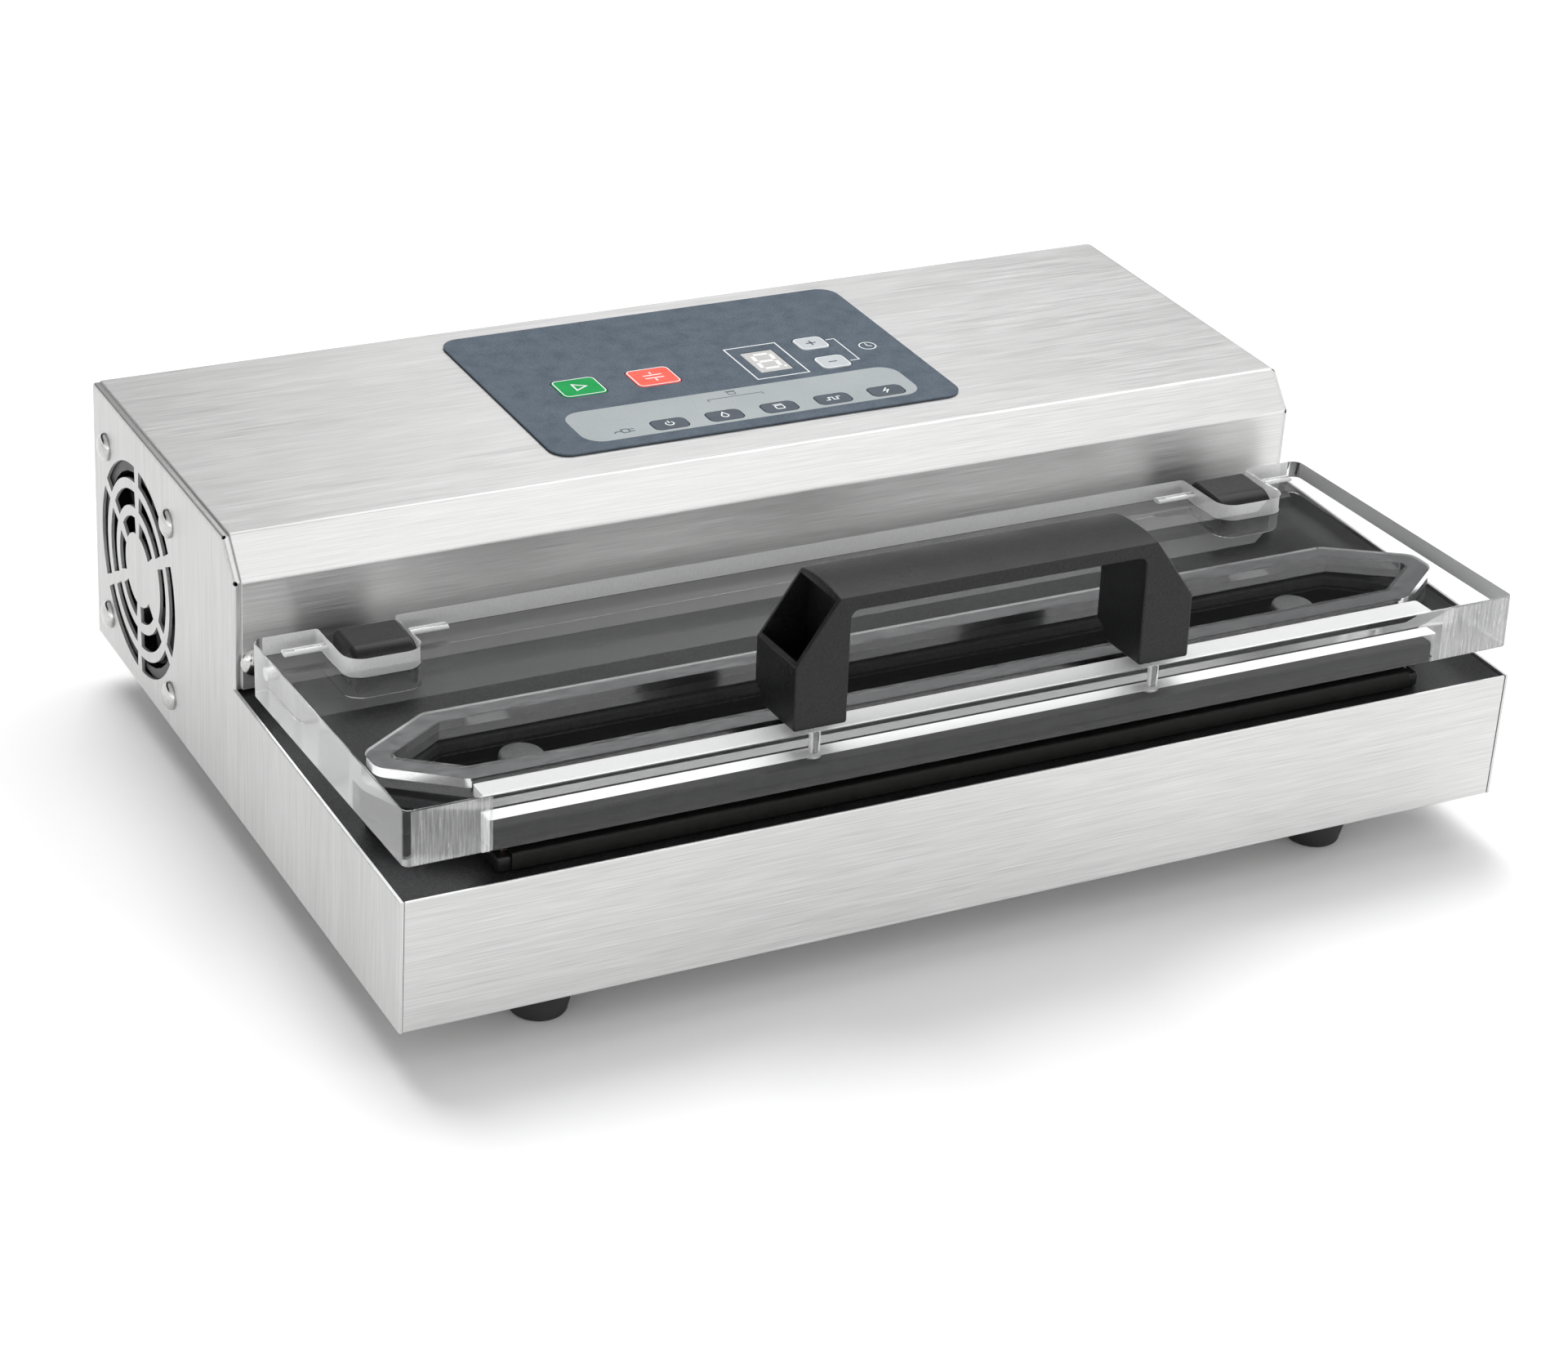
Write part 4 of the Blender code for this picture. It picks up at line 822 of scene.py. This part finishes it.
def hinge_block(side, label):
    """A rounded block that fills the lid's notch, with its pin."""
    name, pin = f"hinge_block_{label}", f"hinge_pin_{label}"
    low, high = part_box(name)
    top = high.z + 0.0022
    outline = filleted([
        (low.y, low.z, 0), (high.y, low.z, 0), (high.y, top, 0.0030), (low.y, top, 0.0083),
    ], 10)
    left, right = (0.0006, 0.0024)[::-side]
    mesh = to_side(soft_plate(outline, low.x - left, high.x + right, 0.0019, 4))
    bore = rod(PIN_BORE, (low.x - 0.01, HINGE_Y, HINGE_Z), (high.x + 0.01, HINGE_Y, HINGE_Z))
    piece(name + "_moulding", cut(mesh, [bore]), SATIN, name)
    low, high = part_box(pin)
    radius, length, chamfer = 0.0020, high.x - low.x, 0.0004
    profile = [(0.0, 0.0), (radius - chamfer, 0.0), (radius, chamfer), (radius, length - chamfer)]
    profile += [(radius - chamfer, length), (0.0, length)]
    steel = turned(profile, (low.x, HINGE_Y, HINGE_Z), (1, 0, 0), 32)
    piece(pin + "_rod", steel, POLISHED, pin)


# ---- clear lid


def lid_outline():
    """The slab's outline, with a notch round each hinge block, drawn anticlockwise."""
    corners = [
        (-LID_HALF, LID_FRONT, 0.0025), (-SLOT_HALF, LID_FRONT, 0), (SLOT_HALF, LID_FRONT, 0),
        (LID_HALF, LID_FRONT, 0.0025), (LID_HALF, LID_REAR, 0.0045),
    ]
    for side in (1, -1):
        xs = (NOTCH_OUTER, NOTCH_INNER)[::side]
        corners += [
            (side * xs[0], LID_REAR, 0.0015), (side * xs[0], NOTCH_Y, NOTCH_ROUND),
            (side * xs[1], NOTCH_Y, NOTCH_ROUND), (side * xs[1], LID_REAR, 0.0015),
        ]
    corners.append((-LID_HALF, LID_REAR, 0.0045))
    return filleted(corners, 8)


def lid_finish(centre, normal):
    """The finish of one face of the slab, picked by where the face lies. The groove's walls get a darker
    copy, which is painted shade.
    """
    across, flat = abs(centre.x), abs(normal.z) > 0.9
    inside = abs(centre.z) < 0.0101
    in_slot = SLOT_Y[0] - 0.0002 < centre.y < SLOT_Y[1] + 0.0002
    past_ring = max(LID_REAR - RING_FRONT - centre.y, centre.y - LID_REAR + RING_BACK)
    if flat and inside:
        return FROSTED if in_slot else MILLED
    if in_slot and abs(normal.x) > 0.5 and across < SLOT_HALF + 0.0005:
        return FROSTED
    if abs(normal.x) > 0.9 and across > LID_HALF - 0.0004:
        return HAZY if centre.x < 0 else FROSTED
    # Walls of the ring's groove take the darker milled copy, which paints shade into the groove.
    if past_ring < 0.0005 and across < 0.2155 and not flat:
        return GROOVE_PAINTED_SHADE
    if abs(across - LID_HALF) < 0.0060 or not inside:
        return CLEAR
    if centre.y < LID_FRONT + 0.0005:
        return SAWN if across > SLOT_HALF - 0.001 else CLEAR
    return FROSTED if centre.y > LID_REAR - 0.0312 else CLEAR


def lid_slab():
    """The slab, with the ring's groove, the strip's slot and the bores for pins and screws."""
    mesh = soft_plate(lid_outline(), LID_UNDER, LID_TOP, 0.0005)
    outer = plate(ring_corners(LID_REAR), LID_UNDER - 0.01, LID_UNDER + RING_GROOVE)
    inner = plate(ring_corners(LID_REAR, RING_WIDTH), LID_UNDER - 0.02, LID_TOP)
    roof = LID_UNDER + SLOT_HEIGHT
    slot = rounded(between((-SLOT_HALF, SLOT_Y[0]), (SLOT_HALF, SLOT_Y[1])), 0.001, 2)
    tools = [cut(outer, [inner]), plate(slot, LID_UNDER - 0.01, roof)]
    for side, _ in SIDES:
        tools.append(rod(PIN_BORE, (side * 0.150, 0, 0), (side * 0.212, 0, 0)))
        x, y = side * HANDLE_SCREW[0], HANDLE_SCREW[1]
        tools.append(rod(SCREW_BORE, (x, y, roof - 0.001), (x, y, LID_TOP + 0.01), 24))
    finishes = [CLEAR, MILLED, FROSTED, SAWN, HAZY, GROOVE_PAINTED_SHADE]
    mesh = painted(cut(mesh, tools), finishes, lid_finish)
    piece("lid_slab", mesh, None, "lid_panel", "lid")


def seal_strip():
    low = (-SLOT_HALF + 0.001, SLOT_Y[0] + 0.0003, LID_UNDER - 0.0035)
    high = (SLOT_HALF - 0.001, SLOT_Y[1] - 0.0003, LID_UNDER + 0.0063)
    piece("press_strip", block(low, high, 0.0011), SILICONE, "seal_strip", "lid")


def handle():
    """The bridge handle, crowned along its top, with an open pocket in each slanted end."""
    base = LID_TOP + 0.0001
    half, inner, under, top, wall, heel = 0.079, 0.0585, 0.0415, 0.048, 0.0018, 0.0065
    crown_from, crown_over, crown = 0.0435, 0.003, 0.0014
    corners = [
        (-half, 0, 0.0010), (-inner, 0, 0.0010), (-inner, under, 0.0030), (inner, under, 0.0030),
        (inner, 0, 0.0010), (half, 0, 0.0010), (half, 0.024, 0.0014), (0.063, top, 0.0014),
        (-0.063, top, 0.0014), (-half, 0.024, 0.0014),
    ]
    outline = [(x, base + z) for x, z in filleted(corners, 5)]
    back, front = LID_REAR - 0.111, LID_REAR - 0.1405
    mesh = to_front(soft_plate(outline, -back, -front, 0.0008, 3, 9))
    middle, reach = (back + front) / 2, (back - front) / 2
    for vertex in mesh.vertices:
        share = min(1.0, (vertex.co.z - base - crown_from) / crown_over)
        if share > 0:
            vertex.co.z -= crown * share * ((vertex.co.y - middle) / reach) ** 2
    near, far = inner + wall, half - wall
    pocket = [(near, 0.014), (far, 0.014), (far, 0.0250), (0.088, 0.0322), (0.073, 0.052),
              (0.0643, 0.0460), (near, 0.0425)]
    tools = []
    for side, _ in SIDES:
        hollow = [(side * x, base + z) for x, z in pocket][::side]
        tools.append(to_front(plate(hollow, -back + wall, -front - wall)))
        tools.append(rod(heel, (side * 0.05, back, base), (side * 0.09, back, base), 48))
        x, y = side * HANDLE_SCREW[0], HANDLE_SCREW[1]
        tools.append(rod(SCREW_BORE, (x, y, base - 0.01), (x, y, base + 0.009), 24))
    piece("handle_bridge", cut(mesh, tools), HANDLE, "lid_handle", "lid")


def handle_screws():
    """Machine screws with real threads, which show through the clear lid."""
    root, crest, pitch, top = 0.0015, 0.0019, 0.0007, 0.0170
    roof = LID_UNDER + SLOT_HEIGHT
    z = roof - 0.0002
    profile = [(0.0, roof - 0.0026), (0.0032, roof - 0.0026)]
    profile += arc_profile(0.0008, 0.0032, roof - 0.0018, -90, 0, 3) + [(0.0040, z)]
    while z < roof + top:
        profile += [(root, z), (crest, z + pitch / 2)]
        z += pitch
    profile += [(root, z), (0.0, z)]
    for side, label in SIDES:
        screw = turned(profile, (side * HANDLE_SCREW[0], HANDLE_SCREW[1], 0), (0, 0, 1), 32)
        name = f"handle_screw_{label}"
        piece(name + "_thread", screw, CAST, name, "lid")


# ---- key panel


def key_windows(bodies, base):
    """Cutting plates a little larger than the keys of some bodies, from a level upwards."""
    windows = []
    for low, high, centre in map(box_of, bodies):
        width, depth, _ = high - low
        window = rounded(rectangle(centre.x, centre.y, width + 0.0006, depth + 0.0006), 0.0029)
        windows.append(plate(window, base, OVERLAY_TOP + 0.01))
    return windows


def frame_in(outline, width):
    """The stroke of a frame of some width just inside an outline."""
    return shrink(without_repeats(outline), width / 2), width, True


def printed(name, strokes, material, slot, low, high, body="housing"):
    """A piece made of flat strokes, each given as (points, width, closed)."""
    meshes = [ribbon(points, width, low, high, closed) for points, width, closed in strokes]
    piece(name, merged(meshes), material, None, body)


def overlay():
    """The film with its openings, the band round the lower keys, and the printed lines."""
    film = rounded(between(OVERLAY_LOW, OVERLAY_HIGH), 0.008, 8)
    film = soft_plate(film, OVERLAY_LOW.z, OVERLAY_TOP, 0.00025)
    base = OVERLAY_LOW.z - 0.01
    holes = key_windows(KEY_BODIES, base)
    holes.append(plate(rectangle(*DISPLAY, 0.0146, 0.0200), base, OVERLAY_TOP + 0.01))
    piece("panel_film", cut(film, [merged(holes)]), OVERLAY, "control_overlay")
    ink, lift = OVERLAY_TOP + INK_GAP, 0.00005
    band = plate(rounded(rectangle(*BAND), 0.008, 8), ink, ink + lift / 2)
    in_band = [body for body in KEY_BODIES if box_of(body)[2].y < BAND[1] + BAND[3] / 2]
    band = cut(band, [merged(key_windows(in_band, OVERLAY_TOP - 0.01))])
    piece("panel_band", band, BAND_GREY)
    fine, plain, bold = 0.0004, 0.0005, 0.0006
    x, y = 0.0745, 0.0846
    clock = [(circle(x, y, 0.0034), plain, True),
             ([(x, y + 0.0024), (x, y), (x + 0.0017, y - 0.0008)], plain, False)]
    white = [
        frame_in(rectangle(*DISPLAY, 0.0232, 0.0313), bold),
        ([(0.0612, 0.0955), (0.0650, 0.0955), (0.0650, 0.0738), (0.0609, 0.0738)], plain, False),
    ]
    printed("panel_lines_white", white + clock, WHITE_INK, "grey_key", ink, ink + lift)
    x, y = -0.0520, 0.0425
    plug = [frame_in(rounded(rectangle(x, y, 0.0036, 0.0036), 0.0009), bold)]
    plug += [([(x + 0.0018, y + rise), (x + 0.0038, y + rise)], bold, False) for rise in (-0.0009, 0.0009)]
    plug.append(([(x - 0.0018, y), (x - 0.0040, y), (x - 0.0048, y - 0.0010)], bold, False))
    dark = [
        ([(-0.0100, 0.0560), (-0.0100, 0.0578), (0.0135, 0.0578), (0.0135, 0.0560)], fine, False),
        frame_in(rounded(rectangle(0.0018, 0.0608, 0.0034, 0.0028), 0.0006), fine),
        ([(-0.0003, 0.0625), (0.0039, 0.0625)], bold, False),
    ]
    printed("panel_lines_dark", dark + plug, DARK_INK, "dark_key", ink, ink + lift)


def icon_arc(radius, start, end, rise=0.0):
    """Points on an arc about (0, rise). Angles in degrees, from the top towards the right."""
    steps = 20
    turns = [math.radians(start + (end - start) * k / steps) for k in range(steps + 1)]
    return [(radius * math.sin(a), rise + radius * math.cos(a)) for a in turns]


def key_icons():
    """For each key, its icon as (points, closed) strokes about its centre."""
    ring = icon_arc(0.0016, 40, 320)
    drop = icon_arc(0.0014, 310, 50, -0.0004) + [(0.0, 0.0024)]
    wave = [(-0.0034, -0.0011), (-0.0018, -0.0011), (-0.0018, 0.0011), (0.0, 0.0011), (0.0, -0.0011),
            (0.0018, -0.0011), (0.0018, 0.0011), (0.0034, 0.0011)]
    bolt = [(0.0009, 0.0022), (-0.0012, -0.0002), (0.0010, 0.0002), (-0.0009, -0.0022)]
    jar = rounded(rectangle(0, -0.0004, 0.0034, 0.0030), 0.0006, 3)
    plates = [([(-0.0040, y), (0.0040, y)], False) for y in (0.0013, -0.0013)]
    leads = [([(0.0, way * 0.0042), (0.0, way * 0.0022)], False) for way in (1, -1)]
    return {
        "key_start": [([(-0.0020, -0.0028), (0.0030, 0.0), (-0.0020, 0.0028)], True)],
        "key_seal": plates + leads,
        "key_time_up": [([(-0.0022, 0), (0.0022, 0)], False), ([(0, -0.0022), (0, 0.0022)], False)],
        "key_time_down": [([(-0.0018, 0), (0.0018, 0)], False)],
        "key_power": [(ring, False), ([(0.0, 0.0003), (0.0, 0.0024)], False)],
        "key_marinate": [(drop, True)],
        "key_accessory": [(jar, True), ([(-0.0020, 0.0020), (0.0020, 0.0020)], False)],
        "key_pulse": [(wave, False)],
        "key_impulse_seal": [(bolt, False)],
    }


def keys():
    """Each key's cap with its icon, and a border round the four keys in colour and grey."""
    looks = {"key_start": (GREEN, "green_key"), "key_seal": (RED, "red_key"),
             "key_time_up": (GREY_KEY, "grey_key"), "key_time_down": (GREY_KEY, "grey_key")}
    icons = key_icons()
    for body in KEY_BODIES:
        low, high, centre = box_of(body)
        outline = rounded(between(low, high), 0.0027)
        film, slot = looks.get(body, (DARK_KEY, "dark_key"))
        piece(f"{body}_cap", soft_plate(outline, low.z, high.z, 0.0004, 3), film, body, body)
        ink = high.z + INK_GAP
        levels = (ink, ink + 0.00004)
        width, border = 0.0007 if body in looks else 0.00056, 0.0005
        strokes = [([(centre.x + x, centre.y + y) for x, y in points], width, closed)
                   for points, closed in icons[body]]
        printed(f"{body}_icon", strokes, DARK_INK if film == GREY_KEY else WHITE_INK, slot, *levels, body)
        if body in looks:
            edge = frame_in(shrink(without_repeats(outline), 0.00035), border)
            printed(f"{body}_border", [edge], WHITE_INK, slot, *levels, body)


def display():
    """The pane with a slanted figure of seven segments and a point."""
    low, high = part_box("display_window")
    piece("display_pane", block(low, high, 0.0002), WINDOW, "display_window")
    x, y = DISPLAY
    w, h, bar, gap, lean = 0.0040, 0.0066, 0.0016, 0.0010, 0.08
    ink = high.z + INK_GAP
    strokes = [((-w + gap, rise), (w - gap, rise)) for rise in (-h, 0.0, h)]
    for across in (-w, w):
        for rise in (-h / 2, h / 2):
            strokes.append(((across, rise - h / 2 + gap), (across, rise + h / 2 - gap)))
    meshes = []
    for ends in strokes:
        points = [(x + px + lean * py, y + py) for px, py in ends]
        meshes.append(ribbon(points, bar, ink, ink + 0.00004))
    meshes.append(plate(circle(x + 0.0052, y - h, 0.0007, 16), ink, ink + 0.00004))
    piece("display_segments", merged(meshes), SEGMENT)


# ---- CAD nodes that stay


def kept_nodes():
    finishes = {
        SATIN: ("fan_frame", "fan_rotor", "valve_body", "display_digit"),
        CAST: ("pump_motor", "pump_head", "pump_flywheel", "transformer"),
        POLISHED: ("pump_bracket", "valve_plunger"),
        HOSE: ("chamber_hose", "pump_hose"),
        STEEL_X: ("rear_panel",),
        COPPER: ("heating_strip",),
        BOARD: ("control_board",),
    }
    for material, names in finishes.items():
        for name in names:
            mesh = frame["nodes"][name].data
            if not mesh.materials:
                mesh.materials.append(material)
            for index in range(len(mesh.materials)):
                mesh.materials[index] = material


# ---- stage, lights and camera


def stage():
    floor, tree, shader = shader_of("studio_floor", grey(0.9), 0.6)
    tone = tinted(tree, noise(tree, 6, 3), grey(0.955), grey(0.975))
    tree.links.new(tone, shader.inputs["Base Color"])
    shader.inputs["Specular IOR Level"].default_value = 0.2
    bm = bmesh.new()
    bmesh.ops.create_grid(bm, x_segments=8, y_segments=8, size=6.0)
    mesh = mesh_of(bm)
    mesh.materials.append(floor)
    add_object("studio_floor", mesh)


def lamp(name, kind, place, aim, energy):
    """A light of one kind at a place, turned to what it aims at."""
    made = add_object(name, bpy.data.lights.new(name, kind))
    made.data.energy = energy
    made.location = place
    made.rotation_euler = (Vector(aim) - Vector(place)).to_track_quat("-Z", "Y").to_euler()
    return made


def softbox(name, place, aim, size, power):
    """A panel that gloss mirrors in full and that lights dull surfaces at half strength."""
    data = lamp(name, "AREA", place, aim, power).data
    data.shape = "RECTANGLE"
    data.size, data.size_y = size
    data.diffuse_factor = 0.5


def lights():
    """A pale room, a high window that gloss doesn't mirror, and two softboxes.

    The room is dimmer above, brighter in front, and has a dark strip low at the rear. It lights dull
    surfaces less than it is mirrored, so that shadows stay deep.
    """
    world = bpy.data.worlds.new("studio")
    world.use_nodes = True
    bpy.context.scene.world = world
    tree = world.node_tree
    background = tree.nodes["Background"]
    background.inputs["Color"].default_value = (1, 1, 1, 1)
    direction = tree.nodes.new("ShaderNodeTexCoord")
    parts = tree.nodes.new("ShaderNodeSeparateXYZ")
    tree.links.new(direction.outputs["Generated"], parts.inputs["Vector"])
    x, y, z = parts.outputs
    height = spread(tree, z, 1.39, 0.69, 0.20, 0.60)
    side = spread(tree, x, 0.96, 1.0, -0.9, 0.3)
    above_ground = spread(tree, z, 0, 1, 0.08, 0.20)
    below_window = spread(tree, z, 1, 0, 0.48, 0.62)
    behind = spread(tree, y, 0, -0.96, -0.1, 0.3)
    dim = total(tree, total(tree, above_ground, below_window, "MULTIPLY"), behind, "MULTIPLY")
    ahead = spread(tree, y, 1.36, 1.0, -0.9, -0.2)
    ray = tree.nodes.new("ShaderNodeLightPath")
    fill = spread(tree, ray.outputs["Is Diffuse Ray"], 1.0, 0.66, 0, 1)
    strength = height
    for factor in (side, total(tree, dim, 1.0), ahead, fill):
        strength = total(tree, strength, factor, "MULTIPLY")
    tree.links.new(strength, background.inputs["Strength"])
    window = lamp("high_window", "SUN", (0, 0.75, 1.3), (0, 0, 0), 1.8)
    window.data.angle = math.radians(35)
    window.visible_glossy = False
    softbox("rear_softbox", (0.92, 0.70, 1.60), (0.1, 0, 0), (1.8, 1.1), 14)
    softbox("front_softbox", (0.55, -1.15, 1.55), (0, 0, 0.1), (1.1, 1.0), 4)


def camera():
    """A view from the front left and a little above, with a slight roll."""
    azimuth, elevation, roll = math.radians(-28.93), math.radians(27.70), math.radians(3.80)
    distance = 1.4558
    target = Vector((-0.0125, -0.0220, 0.0480))
    back = Vector((math.sin(azimuth) * math.cos(elevation), -math.cos(azimuth) * math.cos(elevation),
                   math.sin(elevation)))
    right = Vector((math.cos(azimuth), math.sin(azimuth), 0))
    up = back.cross(right)
    across = math.cos(roll) * right + math.sin(roll) * up
    upright = -math.sin(roll) * right + math.cos(roll) * up
    data = bpy.data.cameras.new("camera")
    data.sensor_width = 36.0
    data.lens = 88.4
    obj = add_object("camera", data)
    turn = Matrix((across, upright, back)).transposed().to_4x4()
    obj.matrix_world = Matrix.Translation(target + back * distance) @ turn
    bpy.context.scene.camera = obj


camera()
lights()
stage()
pan()
cover()
dome_screws()
feet()
rear_fittings()
deck()
gaskets()
seal_bar()
lid_slab()
seal_strip()
handle()
handle_screws()
overlay()
keys()
display()
kept_nodes()
bpy.context.scene.view_settings.view_transform = "Standard"
